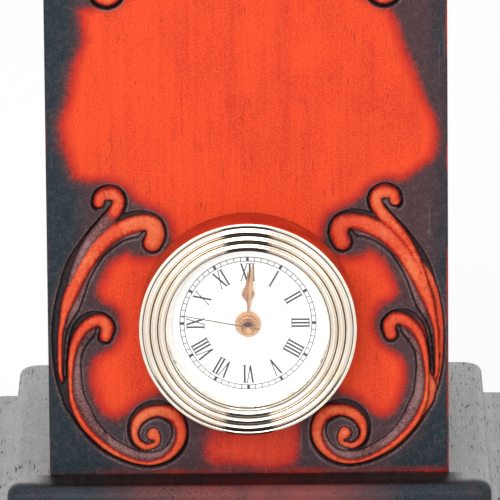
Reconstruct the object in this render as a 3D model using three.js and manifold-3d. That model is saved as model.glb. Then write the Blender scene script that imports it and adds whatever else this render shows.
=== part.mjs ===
// A carved wooden table clock: a square hollow tower of stained boards on a stepped base, with
// C-scrolls carved into its front board and a round quartz capsule pushed into a wooden ring.
// Millimetres, +Z up, origin on the resting plane under the middle of the base, front towards -Y.
import * as THREE from "three";
import { mergeVertices } from "three/addons/utils/BufferGeometryUtils.js";
import Module from "manifold-3d";

const wasm = await Module();
wasm.setup();

// Wooden case
const TOWER_WIDTH = 120;
const TOWER_DEPTH = 120;
const TOWER_HEIGHT = 233;
const FRONT_THICKNESS = 18;
const SIDE_THICKNESS = 12;
const BACK_THICKNESS = 12;
const BASE_SIDE_MARGIN = 14;
const BASE_FRONT_MARGIN = 14;
const BASE_THICKNESS = 12;
const PLINTH_LIP = 9;
const PLINTH_THICKNESS = 14;
const CAP_MARGIN = 9;
const CAP_THICKNESS = 12;
const EDGE_RADIUS = 5;
const COVE_RADIUS = 2.6;
const CORNER_RADIUS = 2;
const PAD_RADIUS = 9;
const PAD_THICKNESS = 2;
const PAD_INSET = 17;
const SCREW_LENGTH = 40;
const SCREW_SHANK_RADIUS = 1.9;
const SCREW_HEAD_RADIUS = 3.8;
const SCREW_HEAD_HEIGHT = 3;
const SCREW_INSET = 30;
const DRIVE_RADIUS = 1.4;
const DRIVE_DEPTH = 1.6;
const CLEARANCE = 0.3;

// Carving
const CARVING_DEPTH = 2.4;
const CREST_BELOW_FACE = 0.15;
const RIM_MARGIN = 1.5;
const VOLUTE_RADIUS = 8.75;
const VOLUTE_CENTRE = [30.7, 11.8];
const VOLUTE_DECAY = 1.75;
const VOLUTE_ROUND_TURNS = 0.2;
const VOLUTE_TURNS = 1.45;

// Mounting ring that stands on the front board and holds the capsule
const DIAL_HEIGHT = 48.4;
const RING_HEIGHT = 13.2;

// Capsule, its depths measured back from a plane set this far behind the face of the ring
const CAPSULE_RECESS = 2.77;
const CUP_RADIUS = 29;
const CUP_WALL = 1.6;
const CUP_LEDGE = 1.5;
const CUP_LENGTH = 16.5;
const CUP_BACK = 1.2;
const BEZEL_OVERHANG = 3.5;
const BEZEL_EDGE = 0.7;
const BEZEL_RIM = 1;
const BEZEL_WALL = 1.3;
const RIB_COUNT = 3;
const RIB_WIDTH = 2.3;
const RIB_BULGE = 0.6;
const RIB_STEP = 0.3;
const APERTURE_LIP = 0.3;
const LENS_THICKNESS = 1;
const LENS_DOME = 0.7;
const CONE_INSET = 1.6;
const DIAL_FACE = 4.5;
const DIAL_THICKNESS = 0.5;
const DIAL_GAP = 0.8;
const GRIP_THICKNESS = 0.7;
const GRIP_START = 6;
const GRIP_LENGTH = 5;

// Hands, seen from the front; each ends short of the dial's edge, angles in degrees past twelve
const HOUR_HAND_SHORT = 6.1;
const MINUTE_HAND_SHORT = 3.2;
const SECOND_HAND_SHORT = 2.5;
const HAND_THICKNESS = 0.35;
const HOUR_HAND_DEPTH = 3;
const MINUTE_HAND_DEPTH = 1.2;
const SECOND_HAND_DEPTH = -1.2;
const HOUR_BOSS_RADIUS = 3.6;
const MINUTE_BOSS_RADIUS = 2.6;
const SECOND_CAP_RADIUS = 2.05;
const SECONDS_SHOWN = 46;

// Movement: plates, coaxial tubes and wheel levels
const PLATE_LEFT = -16.5;
const PLATE_RIGHT = 17.5;
const PLATE_HALF_HEIGHT = 12.8;
const PLATE_THICKNESS = 1.2;
const REAR_PLATE_FACE = 13.9;
const REAR_PLATE_THICKNESS = 1.1;
const PILLAR_RADIUS = 1.1;
const PILLAR_INSET = 1.6;
const SECOND_ARBOR_RADIUS = 0.4;
const MINUTE_TUBE_BORE = 0.7;
const MINUTE_TUBE_RADIUS = 1.15;
const HOUR_TUBE_BORE = 1.45;
const HOUR_TUBE_RADIUS = 2.1;
const ARBOR_RADIUS = 0.35;
const KNOB_STEM_RADIUS = 0.5;
const WHEEL_THICKNESS = 0.6;
const COLLAR_THICKNESS = 0.4;
const RUNNING_CLEARANCE = 0.1;
const HOUR_LEVEL = 6.6;
const MINUTE_LEVEL = 7.7;
const CENTRE_LEVEL = 8.9;
const THIRD_LEVEL = 10.3;
const SECONDS_LEVEL = 11.4;
const ROTOR_LEVEL = 12.5;
const KNOB_RADIUS = 3.4;
const KNOB_LENGTH = 2.6;
const KNOB_FLUTES = 12;

// Gear train: teeth, and the distance and direction of each arbor from the centre
const TEETH = {
  secondsPinion: 6,
  thirdWheel: 45,
  thirdPinion: 6,
  centreWheel: 48,
  cannon: 8,
  reverseWheel: 24,
  reversePinion: 6,
  hourWheel: 24,
  secondsWheel: 30,
  stepPinion: 6,
  stepWheel: 36,
  rotorPinion: 6,
};
const THIRD_DISTANCE = 6.8;
const THIRD_DIRECTION = 150;
const REVERSE_DISTANCE = 7.2;
const REVERSE_DIRECTION = 30;
const STEP_DISTANCE = 7;
const STEP_DIRECTION = -60;
const ROTOR_DISTANCE = 6.3;
const ROTOR_DIRECTION = 10;
const TOOTH_ADDENDUM = 0.68;
const TOOTH_DEDENDUM = 1.15;
const TOOTH_TIP_SHARE = 0.18;
const MAGNET_RADIUS = 2;
const MAGNET_LENGTH = 2.2;

// Motor and electrics
const STATOR_THICKNESS = 0.8;
const STATOR_RING_RADIUS = 3.3;
const COIL_RADIUS = 2.2;
const COIL_LENGTH = 12;
const COIL_X = 14.6;
const BOARD_LEFT = -13;
const BOARD_RIGHT = 1.4;
const BOARD_TOP = -7.2;
const BOARD_THICKNESS = 0.8;
const BATTERY_RADIUS = 5.8;
const BATTERY_LENGTH = 5.4;
const BATTERY_X = -4;
const BATTERY_INSET = 1.1;
const CONTACT_THICKNESS = 0.3;
const CONTACT_WIDTH = 3;
const COVER_THICKNESS = 1;
const RAIL_WIDTH = 0.9;

// Facets of the turned pieces and of the carving
const LARGE_SEGMENTS = 36;
const RIB_FACETS = 3;
const SMALL_SEGMENTS = 14;
const STATIONS_PER_SCROLL = 16;
const FACET_TOLERANCE = 0.08;

const BOARD_FRONT = -TOWER_DEPTH / 2;
const PLINTH_BOTTOM = PAD_THICKNESS;
const BASE_BOTTOM = PLINTH_BOTTOM + PLINTH_THICKNESS;
const TOWER_BOTTOM = BASE_BOTTOM + BASE_THICKNESS;
const TOWER_TOP = TOWER_BOTTOM + TOWER_HEIGHT;
const RING_FACE = BOARD_FRONT - RING_HEIGHT;
const DIAL_AXIS = TOWER_BOTTOM + DIAL_HEIGHT;
const GRIP_OUTER = CUP_RADIUS + CLEARANCE + GRIP_THICKNESS;
const SEAT_BORE = GRIP_OUTER + CLEARANCE;
const CUP_FRONT = -CAPSULE_RECESS;
const CUP_INNER = CUP_RADIUS - CUP_WALL;
const CUP_LEDGE_RADIUS = CUP_INNER - CUP_LEDGE;
const BEZEL_RADIUS = CUP_RADIUS + BEZEL_OVERHANG;
const APERTURE_RADIUS = BEZEL_RADIUS - BEZEL_RIM - RIB_COUNT * RIB_WIDTH - APERTURE_LIP;
const DIAL_VISIBLE_RADIUS = APERTURE_RADIUS - CONE_INSET;
const DIAL_RADIUS = CUP_INNER - DIAL_GAP;
const BATTERY_Z = -(CUP_LEDGE_RADIUS - BATTERY_RADIUS - BATTERY_INSET);

const radians = THREE.MathUtils.degToRad;
const polar = (radius, degrees) => [
  radius * Math.cos(radians(degrees)),
  radius * Math.sin(radians(degrees)),
];

function material(colour, roughness, metalness = 0, opacity = 1) {
  const made = new THREE.MeshStandardMaterial({ color: colour, roughness, metalness });
  made.transparent = opacity < 1;
  made.opacity = opacity;
  return made;
}

const darkStain = material("#2b2f33", 0.45);
const carvedStain = material("#b8401f", 0.5);
const bareWood = material("#b58a5c", 0.7);
const felt = material("#1d3b2a", 0.95);
const steel = material("#9a9ca0", 0.35, 1);
const gold = material("#e3c389", 0.18, 1);
const glass = material("#f3f7f8", 0.03, 0, 0.2);
const dialWhite = material("#f7f6f2", 0.5);
const handGold = material("#b98a6c", 0.3, 1);
const blackPlastic = material("#191919", 0.5);
const whitePlastic = material("#e9e6dc", 0.45);
const rubber = material("#26262a", 0.9);
const brass = material("#c9a24e", 0.3, 1);
const copper = material("#b4653a", 0.35, 1);
const circuitGreen = material("#1d5b37", 0.5);

// A closed geometry as a solid that can be joined and cut.
function solid(geometry) {
  const bare = new THREE.BufferGeometry();
  bare.setAttribute("position", geometry.getAttribute("position").clone());
  if (geometry.index) bare.setIndex(geometry.index.clone());
  const merged = mergeVertices(bare, 1e-4);
  const vertProperties = new Float32Array(merged.getAttribute("position").array);
  const triVerts = new Uint32Array(merged.index.array);
  const made = new wasm.Manifold(new wasm.Mesh({ numProp: 3, vertProperties, triVerts }));
  if (made.volume() >= 0) return made;
  for (let i = 0; i < triVerts.length; i += 3) {
    [triVerts[i + 1], triVerts[i + 2]] = [triVerts[i + 2], triVerts[i + 1]];
  }
  return new wasm.Manifold(new wasm.Mesh({ numProp: 3, vertProperties, triVerts }));
}

function geometryOf(body) {
  const mesh = body.getMesh();
  const geometry = new THREE.BufferGeometry();
  geometry.setAttribute("position", new THREE.BufferAttribute(new Float32Array(mesh.vertProperties), 3));
  geometry.setIndex(new THREE.BufferAttribute(new Uint32Array(mesh.triVerts), 1));
  geometry.computeVertexNormals();
  return geometry;
}

const joined = (first, ...others) => others.reduce((whole, piece) => whole.add(piece), first);
const cut = (first, ...tools) => tools.reduce((whole, tool) => whole.subtract(tool), first);

// A box given by its faces, so that boards that meet share the very same numbers.
function block([x0, x1], [y0, y1], [z0, z1]) {
  const geometry = new THREE.BoxGeometry(1, 1, 1);
  const position = geometry.getAttribute("position");
  for (let i = 0; i < position.count; i++) {
    const x = position.getX(i) > 0 ? x1 : x0;
    const y = position.getY(i) > 0 ? y1 : y0;
    const z = position.getZ(i) > 0 ? z1 : z0;
    position.setXYZ(i, x, y, z);
  }
  return geometry;
}

// A shape drawn as seen from the front (x right, y up), made solid between two depths along Y.
function plate(shape, front, back, curveSegments = 6) {
  const settings = { depth: back - front, bevelEnabled: false, curveSegments };
  const geometry = new THREE.ExtrudeGeometry(shape, settings);
  return geometry.applyMatrix4(new THREE.Matrix4().set(1, 0, 0, 0, 0, 0, -1, back, 0, 1, 0, 0, 0, 0, 0, 1));
}

// A profile of [radius, depth] pairs turned about the Y axis.
function turned(profile, segments) {
  const points = profile.map(([radius, depth]) => new THREE.Vector2(radius, depth));
  return new THREE.LatheGeometry(points, segments);
}

// The same about the Z axis, for screws and pads.
function turnedUpright(profile, segments) {
  return turned(profile, segments).applyMatrix4(
    new THREE.Matrix4().set(1, 0, 0, 0, 0, 0, -1, 0, 0, 1, 0, 0, 0, 0, 0, 1),
  );
}

function rod(radius, front, back, [x, z] = [0, 0], segments = SMALL_SEGMENTS) {
  const profile = [[0, front], [radius, front], [radius, back], [0, back]];
  return solid(turned(profile, segments).translate(x, 0, z));
}

function place(name, body, finish, parent, [x, y, z] = [0, 0, 0]) {
  const mesh = new THREE.Mesh(body.isBufferGeometry ? geometryOf(solid(body)) : geometryOf(body), finish);
  mesh.name = name;
  mesh.position.set(x, y, z);
  parent.add(mesh);
  return mesh;
}

// A board with a moulded edge: one rounded rectangle for each [outset, height] of the profile.
function mouldedBoard(halfWidth, halfDepth, profile) {
  const cornerSteps = 2;
  const loop = (outset, height) => {
    const points = [];
    for (const [sideX, sideY, start] of [[1, 1, 0], [-1, 1, 90], [-1, -1, 180], [1, -1, 270]]) {
      for (let step = 0; step <= cornerSteps; step++) {
        const [dx, dy] = polar(CORNER_RADIUS, start + (90 * step) / cornerSteps);
        const x = sideX * (halfWidth + outset - CORNER_RADIUS) + dx;
        const y = sideY * (halfDepth + outset - CORNER_RADIUS) + dy;
        points.push([x, y, height]);
      }
    }
    return points;
  };
  const loops = profile.map(([outset, height]) => loop(outset, height));
  return loft(loops);
}

// Closed loops of equal length skinned into one body, each end closed by a fan.
function loft(loops) {
  const count = loops[0].length;
  const vertices = loops.flat(2);
  const faces = [];
  for (let i = 0; i + 1 < loops.length; i++) {
    for (let j = 0; j < count; j++) {
      const next = (j + 1) % count;
      const [a, b] = [i * count + j, i * count + next];
      faces.push(a, b, b + count, a, b + count, a + count);
    }
  }
  const last = (loops.length - 1) * count;
  for (let j = 1; j + 1 < count; j++) {
    faces.push(0, j + 1, j, last, last + j, last + j + 1);
  }
  const geometry = new THREE.BufferGeometry();
  geometry.setAttribute("position", new THREE.Float32BufferAttribute(vertices, 3));
  geometry.setIndex(faces);
  return geometry;
}

function quarter(steps, draw) {
  return Array.from({ length: steps + 1 }, (_, step) => draw((Math.PI / 2) * (step / steps)));
}

// Rounded over at the top, straight, then a cove that runs out to the board below.
function steppedEdge(bottom, top, steps = 4) {
  const cove = quarter(3, (a) => [COVE_RADIUS * (1 - Math.sin(a)), bottom + COVE_RADIUS * (1 - Math.cos(a))]);
  const round = quarter(steps, (a) => [
    -EDGE_RADIUS * (1 - Math.cos(a)),
    top - EDGE_RADIUS * (1 - Math.sin(a)),
  ]);
  return [...cove, ...round];
}

function roundedEdge(bottom, top, steps = 4) {
  const round = quarter(steps, (a) => [
    -EDGE_RADIUS * (1 - Math.cos(a)),
    top - EDGE_RADIUS * (1 - Math.sin(a)),
  ]);
  return [[0, bottom], ...round];
}

// Where the four screws come up through the base into the side boards.
const SCREW_X = TOWER_WIDTH / 2 - SIDE_THICKNESS / 2;
const SCREW_Y = TOWER_DEPTH / 2 - SCREW_INSET;
const SCREW_PLACES = [[-1, -1], [1, -1], [-1, 1], [1, 1]].map(([sx, sy]) => [sx * SCREW_X, sy * SCREW_Y]);

function screwProfile(grow) {
  const head = SCREW_HEAD_RADIUS + grow;
  const shank = SCREW_SHANK_RADIUS + grow;
  const tip = SCREW_LENGTH + grow;
  return [[0, -grow], [head, -grow], [shank, SCREW_HEAD_HEIGHT], [shank, tip - shank], [0, tip]];
}

function screwHoles() {
  return SCREW_PLACES.map(([x, y]) => {
    const hole = turnedUpright(screwProfile(CLEARANCE), SMALL_SEGMENTS);
    return solid(hole.translate(x, y, PLINTH_BOTTOM + CLEARANCE));
  });
}

// A ridge of the carving: [across, up, half width, outer margin, inner margin] from its bulb on,
// measured from the lower left corner of the front board.
const OUTER_SCROLL = [
  [31.9, 72.2, 3.2, RIM_MARGIN, 0.4],
  [32.7, 75.2, 3.1, RIM_MARGIN, 0],
  [30.3, 77.6, 2.85, RIM_MARGIN, 0],
  [26.3, 77.5, 2.7, RIM_MARGIN, 0.5],
  [21.8, 75.4, 2.45, RIM_MARGIN, 0.6],
  [17.3, 72.1, 2.3, 1.8, 0.7],
  [12.6, 67.2, 2.2, 2.3, 0.8],
  [9.4, 62.1, 2.0, 2.2, 1.2],
  [7, 56.2, 1.7, 2.0, 1.7],
  [5.1, 50, 1.25, 1.9, 2.2],
  [3.8, 43, 0.95, 1.7, 2],
  [3.4, 36, 0.75, 1.5, 1.5],
  [3.9, 29.8, 0.55, 1.5, 1],
  [5.1, 25.4, 0.35, 1.5, 0.5],
];
const INNER_SCROLL = [
  [17.1, 42.8, 2.5, RIM_MARGIN, 0.3],
  [17, 45.4, 2.65, RIM_MARGIN, 0],
  [14.9, 47, 2.2, RIM_MARGIN, 0],
  [12.2, 45.8, 1.8, RIM_MARGIN, 0.3],
  [9.8, 43, 1.4, RIM_MARGIN, 1.2],
  [7.9, 39.3, 1.1, RIM_MARGIN, 2.4],
  [7, 35.3, 0.95, RIM_MARGIN, 2.7],
  [6.7, 30.7, 0.9, RIM_MARGIN, 2.6],
  [6.7, 26.1, 0.95, RIM_MARGIN, 2.8],
  [7.1, 22.1, 1, RIM_MARGIN, 3.1],
  [8.4, 17.8, 1.1, RIM_MARGIN, 3.5],
  [10.3, 13.5, 1.1, RIM_MARGIN, 4.3],
  [13.5, 9.2, 1, RIM_MARGIN, 4.2],
  [18.6, 5.4, 0.9, 1.4, 4.1],
  [24.5, 3.4, 0.8, 1.2, 4.1],
  [30.7, 3.05, 0.8, 1.2, 0.5],
];
const TOP_SCROLL = [
  [15.4, 83.5, 1.7, 0, RIM_MARGIN],
  [15.9, 86, 2.1, 0, RIM_MARGIN],
  [18.2, 86.6, 2.6, 0, RIM_MARGIN],
  [20.4, 85.3, 2.5, 0, RIM_MARGIN],
  [21.1, 82.9, 2.2, 0.3, RIM_MARGIN],
  [19.4, 80, 1.85, 0.8, RIM_MARGIN],
  [16.7, 77, 1.5, 0.8, 0.5],
  [14, 73.3, 1.25, 0.8, 0.5],
  [11, 69, 1, 0.8, 0.5],
  [8.6, 64.5, 0.75, 0.8, 0.5],
  [6.7, 59.6, 0.45, 0.8, 0.5],
];

// The volute goes round at one radius, then closes in as a logarithmic spiral.
function voluteRidge() {
  const start = -0.25;
  const steps = 12;
  return Array.from({ length: steps + 1 }, (_, step) => {
    const turns = start + ((VOLUTE_TURNS - start) * step) / steps;
    const radius = VOLUTE_RADIUS * Math.exp(-VOLUTE_DECAY * Math.max(0, turns - VOLUTE_ROUND_TURNS));
    const swell = Math.exp(-(((turns - 0.22) / 0.26) ** 2));
    const halfWidth = 0.85 + 1.25 * swell;
    const [x, z] = polar(radius, turns * 360);
    return [VOLUTE_CENTRE[0] + x, VOLUTE_CENTRE[1] + z, halfWidth, RIM_MARGIN, 0];
  });
}

// Evenly spaced stations along a smooth line through a scroll's points, each with its widths.
function stations(points, count) {
  const path = new THREE.CatmullRomCurve3(
    points.map(([x, z, half]) => new THREE.Vector3(x, z, half)),
    false,
    "centripetal",
  );
  const margins = new THREE.CatmullRomCurve3(
    points.map(([, , , outer, inner]) => new THREE.Vector3(outer, inner, 0)),
    false,
    "centripetal",
  );
  return Array.from({ length: count + 1 }, (_, i) => {
    const t = i / count;
    const here = path.getPoint(t);
    const along = path.getTangent(t).setZ(0).normalize();
    const margin = margins.getPoint(t);
    return {
      x: here.x,
      z: here.y,
      half: here.z,
      side: [along.y, -along.x],
      outer: Math.max(0, margin.x),
      inner: Math.max(0, margin.y),
    };
  });
}

// Sweeps a section along the stations in short overlapping stretches, because a scroll meets itself.
function swept(stops, section, toBoard) {
  const stretch = 4;
  const pieces = [];
  for (let start = 0; start + 1 < stops.length; start += stretch) {
    const part = stops.slice(start, start + stretch + 1);
    const loops = part.map((stop) =>
      section(stop).map(([across, depth]) =>
        toBoard(stop.x + across * stop.side[0], stop.z + across * stop.side[1], depth),
      ),
    );
    pieces.push(solid(loft(loops)));
  }
  return wasm.Manifold.union(pieces);
}

// Rounded crest, its foot sunk below the floor of the carving. Positive across is the outer side.
function ridgeSection({ half }) {
  const low = CARVING_DEPTH + 0.6;
  const shoulder = CREST_BELOW_FACE + 0.6;
  return [
    [-half, low],
    [half, low],
    [half * 0.8, shoulder],
    [0, CREST_BELOW_FACE],
    [-half * 0.8, shoulder],
  ];
}

function trenchSection({ half, outer, inner }) {
  const bevel = 0.5;
  return [
    [-half - inner, CARVING_DEPTH],
    [half + outer - bevel, CARVING_DEPTH],
    [half + outer, -1],
    [-half - inner - bevel / 2, -1],
  ];
}

// A disc or rounded end, sunk from the face to a depth.
function roundCut([x, z], radius, toBoard, from, to) {
  const sides = 12;
  const loops = [from, to].map((depth) =>
    Array.from({ length: sides }, (_, i) => {
      const [dx, dz] = polar(radius, (360 * i) / sides);
      return toBoard(x + dx, z + dz, depth);
    }),
  );
  return solid(loft(loops));
}

// One corner's scrolls, mirrored into place by toBoard.
function cornerCarving(toBoard) {
  const scrolls = [
    stations(OUTER_SCROLL, STATIONS_PER_SCROLL),
    stations(INNER_SCROLL, STATIONS_PER_SCROLL),
    stations(TOP_SCROLL, STATIONS_PER_SCROLL),
    stations(voluteRidge(), STATIONS_PER_SCROLL * 1.25),
  ];
  const ridges = scrolls.map((stops) => swept(stops, ridgeSection, toBoard));
  const trenches = scrolls.slice(0, 3).map((stops) => swept(stops, trenchSection, toBoard));
  for (const stops of scrolls.slice(0, 3)) {
    const bulb = stops[0];
    trenches.push(roundCut([bulb.x, bulb.z], bulb.half + RIM_MARGIN, toBoard, -1, CARVING_DEPTH));
    ridges.push(roundCut([bulb.x, bulb.z], bulb.half * 0.96, toBoard, 0.4, CARVING_DEPTH + 0.6));
  }
  const basin = VOLUTE_RADIUS + RIM_MARGIN + 1.4;
  trenches.push(roundCut(VOLUTE_CENTRE, basin, toBoard, -1, CARVING_DEPTH));
  return { ridges: wasm.Manifold.union(ridges), trenches: wasm.Manifold.union(trenches) };
}

function carvedFront() {
  let board = solid(
    block(
      [-TOWER_WIDTH / 2, TOWER_WIDTH / 2],
      [BOARD_FRONT, BOARD_FRONT + FRONT_THICKNESS],
      [TOWER_BOTTOM, TOWER_TOP],
    ),
  );
  for (const left of [true, false]) {
    for (const lower of [true, false]) {
      const toBoard = (across, up, depth) => [
        left ? -TOWER_WIDTH / 2 + across : TOWER_WIDTH / 2 - across,
        BOARD_FRONT + depth,
        lower ? TOWER_BOTTOM + up : TOWER_TOP - up,
      ];
      const { ridges, trenches } = cornerCarving(toBoard);
      board = joined(cut(board, trenches), ridges);
    }
  }
  const bore = rod(
    SEAT_BORE,
    BOARD_FRONT - 1,
    BOARD_FRONT + FRONT_THICKNESS + 1,
    [0, DIAL_AXIS],
    LARGE_SEGMENTS,
  );
  return cut(board, bore).asOriginal().simplify(FACET_TOLERANCE);
}

function mountingRing() {
  const face = [[SEAT_BORE, RING_FACE], [BEZEL_RADIUS, RING_FACE]];
  const foot = [[BEZEL_RADIUS, BOARD_FRONT], [SEAT_BORE, BOARD_FRONT]];
  return turned([...face, ...foot, face[0]], LARGE_SEGMENTS).translate(0, 0, DIAL_AXIS);
}

function buildCase() {
  const group = new THREE.Group();
  const halfWidth = TOWER_WIDTH / 2;
  const halfDepth = TOWER_DEPTH / 2;
  const holes = screwHoles();
  const baseX = halfWidth + BASE_SIDE_MARGIN;
  const baseY = halfDepth + BASE_FRONT_MARGIN;

  const plinth = mouldedBoard(
    baseX + PLINTH_LIP,
    baseY + PLINTH_LIP,
    roundedEdge(PLINTH_BOTTOM, BASE_BOTTOM),
  );
  place("plinth_board", cut(solid(plinth), ...holes), darkStain, group);
  const base = mouldedBoard(baseX, baseY, steppedEdge(BASE_BOTTOM, TOWER_BOTTOM));
  place("base_board", cut(solid(base), ...holes), darkStain, group);

  place("front_board", carvedFront(), carvedStain, group);
  place("mounting_ring", mountingRing(), carvedStain, group);
  const sideDepth = [BOARD_FRONT + FRONT_THICKNESS, halfDepth - BACK_THICKNESS];
  const height = [TOWER_BOTTOM, TOWER_TOP];
  for (const [name, side] of [["left", -1], ["right", 1]]) {
    const faces = [side * halfWidth, side * (halfWidth - SIDE_THICKNESS)].sort((a, b) => a - b);
    place(`${name}_side_board`, cut(solid(block(faces, sideDepth, height)), ...holes), darkStain, group);
  }
  const back = block([-halfWidth, halfWidth], [halfDepth - BACK_THICKNESS, halfDepth], height);
  place("back_board", back, darkStain, group);
  const cap = mouldedBoard(
    halfWidth + CAP_MARGIN,
    halfDepth + CAP_MARGIN,
    roundedEdge(TOWER_TOP, TOWER_TOP + CAP_THICKNESS),
  );
  place("cap_board", cap, darkStain, group);

  SCREW_PLACES.forEach(([x, y], i) => {
    const slot = solid(
      turnedUpright([[0, -1], [DRIVE_RADIUS, -1], [DRIVE_RADIUS / 2, DRIVE_DEPTH], [0, DRIVE_DEPTH]], 4),
    );
    const screw = cut(solid(turnedUpright(screwProfile(0), 12)), slot);
    place(`base_screw_${i + 1}`, screw, steel, group, [x, y, PLINTH_BOTTOM + CLEARANCE]);
  });
  const padX = baseX + PLINTH_LIP - PAD_INSET;
  const padY = baseY + PLINTH_LIP - PAD_INSET;
  const padProfile = [[0, 0], [PAD_RADIUS, 0], [PAD_RADIUS, PAD_THICKNESS], [0, PAD_THICKNESS]];
  [[-1, -1], [1, -1], [-1, 1], [1, 1]].forEach(([sx, sy], i) => {
    const pad = turnedUpright(padProfile, 20);
    place(`felt_pad_${i + 1}`, pad, felt, group, [sx * padX, sy * padY, 0]);
  });
  return group;
}

// Bezel: three rounded ribs climbing from the rim to the aperture, a groove for the lens,
// and a polished cone down to the dial.
const RIB_START = BEZEL_RADIUS - BEZEL_RIM;
const RIM_BACK = CUP_FRONT - CLEARANCE;
const RIM_FRONT = RIM_BACK - BEZEL_EDGE;
const ribCrest = (rib) => RIM_FRONT - RIB_STEP * (rib + 1);
const APERTURE_FACE = ribCrest(RIB_COUNT - 1);
const LENS_BACK = APERTURE_FACE + 0.6 + LENS_THICKNESS + 2 * CLEARANCE;
const LENS_RADIUS = APERTURE_RADIUS + 0.4;
const CONE_BACK = DIAL_FACE - CLEARANCE;

function bezel() {
  const profile = [[BEZEL_RADIUS, RIM_BACK], [BEZEL_RADIUS, RIM_FRONT]];
  for (let rib = 0; rib < RIB_COUNT; rib++) {
    const outer = RIB_START - rib * RIB_WIDTH;
    for (let step = 0; step < RIB_FACETS; step++) {
      const share = step / RIB_FACETS;
      const lift = RIB_BULGE * Math.sin(Math.PI * share);
      profile.push([outer - RIB_WIDTH * share, ribCrest(rib) - lift]);
    }
  }
  profile.push(
    [APERTURE_RADIUS + APERTURE_LIP, APERTURE_FACE],
    [APERTURE_RADIUS, APERTURE_FACE + 0.3],
    [APERTURE_RADIUS, APERTURE_FACE + 0.6],
    [LENS_RADIUS + CLEARANCE, APERTURE_FACE + 0.6],
    [LENS_RADIUS + CLEARANCE, LENS_BACK],
    [APERTURE_RADIUS, LENS_BACK],
    [DIAL_VISIBLE_RADIUS, CONE_BACK],
    [DIAL_VISIBLE_RADIUS + BEZEL_WALL, CONE_BACK],
    [APERTURE_RADIUS + BEZEL_WALL + 0.5, RIM_BACK],
    [BEZEL_RADIUS, RIM_BACK],
  );
  return turned(profile, LARGE_SEGMENTS);
}

function lens() {
  const face = APERTURE_FACE + 0.6 + CLEARANCE;
  const domeEdge = APERTURE_RADIUS - 0.5;
  return turned(
    [
      [0, face - LENS_DOME],
      [domeEdge * 0.6, face - LENS_DOME * 0.64],
      [domeEdge, face],
      [LENS_RADIUS, face],
      [LENS_RADIUS, face + LENS_THICKNESS],
      [domeEdge, face + LENS_THICKNESS],
      [domeEdge * 0.6, face + LENS_THICKNESS - LENS_DOME * 0.64],
      [0, face + LENS_THICKNESS - LENS_DOME],
    ],
    LARGE_SEGMENTS,
  );
}

function dial() {
  const inner = HOUR_TUBE_RADIUS + CLEARANCE;
  const back = DIAL_FACE + DIAL_THICKNESS;
  return turned(
    [[inner, DIAL_FACE], [DIAL_RADIUS, DIAL_FACE], [DIAL_RADIUS, back], [inner, back], [inner, DIAL_FACE]],
    LARGE_SEGMENTS,
  );
}

const PLATE_FACE = DIAL_FACE + DIAL_THICKNESS;
const CUP_BACK_FACE = CUP_LENGTH - CUP_BACK;
const RAIL_LENGTH_SHARE = 2.1;
const COVER_HALF = BATTERY_RADIUS + 0.55;
const KNOB_PLACE = polar(REVERSE_DISTANCE, REVERSE_DIRECTION);

// The black cup holds the movement: a ledge for the dial, a hole for the setting stem,
// a round battery well and two rails for its sliding cover.
function cup() {
  const body = solid(
    turned(
      [
        [0, CUP_LENGTH],
        [CUP_RADIUS - 0.8, CUP_LENGTH],
        [CUP_RADIUS, CUP_LENGTH - 0.8],
        [CUP_RADIUS, CUP_FRONT],
        [CUP_INNER, CUP_FRONT],
        [CUP_INNER, PLATE_FACE],
        [CUP_LEDGE_RADIUS, PLATE_FACE],
        [CUP_LEDGE_RADIUS, CUP_BACK_FACE],
        [0, CUP_BACK_FACE],
      ],
      LARGE_SEGMENTS,
    ),
  );
  const stemHole = rod(KNOB_STEM_RADIUS + CLEARANCE, CUP_BACK_FACE - 1, CUP_LENGTH + 1, KNOB_PLACE);
  const well = rod(
    BATTERY_RADIUS + CLEARANCE,
    CUP_BACK_FACE - 1,
    CUP_LENGTH + 1,
    [BATTERY_X, BATTERY_Z],
    20,
  );
  const railEnd = BATTERY_X + COVER_HALF * RAIL_LENGTH_SHARE;
  const railStart = BATTERY_X - COVER_HALF;
  const railInner = BATTERY_Z + COVER_HALF + CLEARANCE;
  const rail = solid(
    block(
      [railStart, railEnd],
      [CUP_LENGTH - 0.5, CUP_LENGTH + COVER_THICKNESS],
      [railInner, railInner + RAIL_WIDTH],
    ),
  );
  return joined(cut(body, stemHole, well), rail);
}

function gripRing() {
  const inner = CUP_RADIUS + CLEARANCE;
  const end = GRIP_START + GRIP_LENGTH;
  return turned(
    [
      [inner, GRIP_START],
      [GRIP_OUTER - 0.4, GRIP_START],
      [GRIP_OUTER, GRIP_START + GRIP_LENGTH / 2],
      [GRIP_OUTER - 0.4, end],
      [inner, end],
      [inner, GRIP_START],
    ],
    LARGE_SEGMENTS,
  );
}

// Hands are drawn pointing at twelve and turned clockwise by their angle.
function turnedShape(points, clockwise) {
  const angle = -radians(clockwise);
  const turn = ([x, y]) =>
    new THREE.Vector2(x * Math.cos(angle) - y * Math.sin(angle), x * Math.sin(angle) + y * Math.cos(angle));
  return new THREE.Shape(points.map(turn));
}

const mirrored = (half) => [...half, ...half.map(([x, y]) => [-x, y]).reverse()];

function boss(radius, bore, front, back) {
  return cut(rod(radius, front, back), rod(bore, front - 1, back + 1));
}

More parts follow.
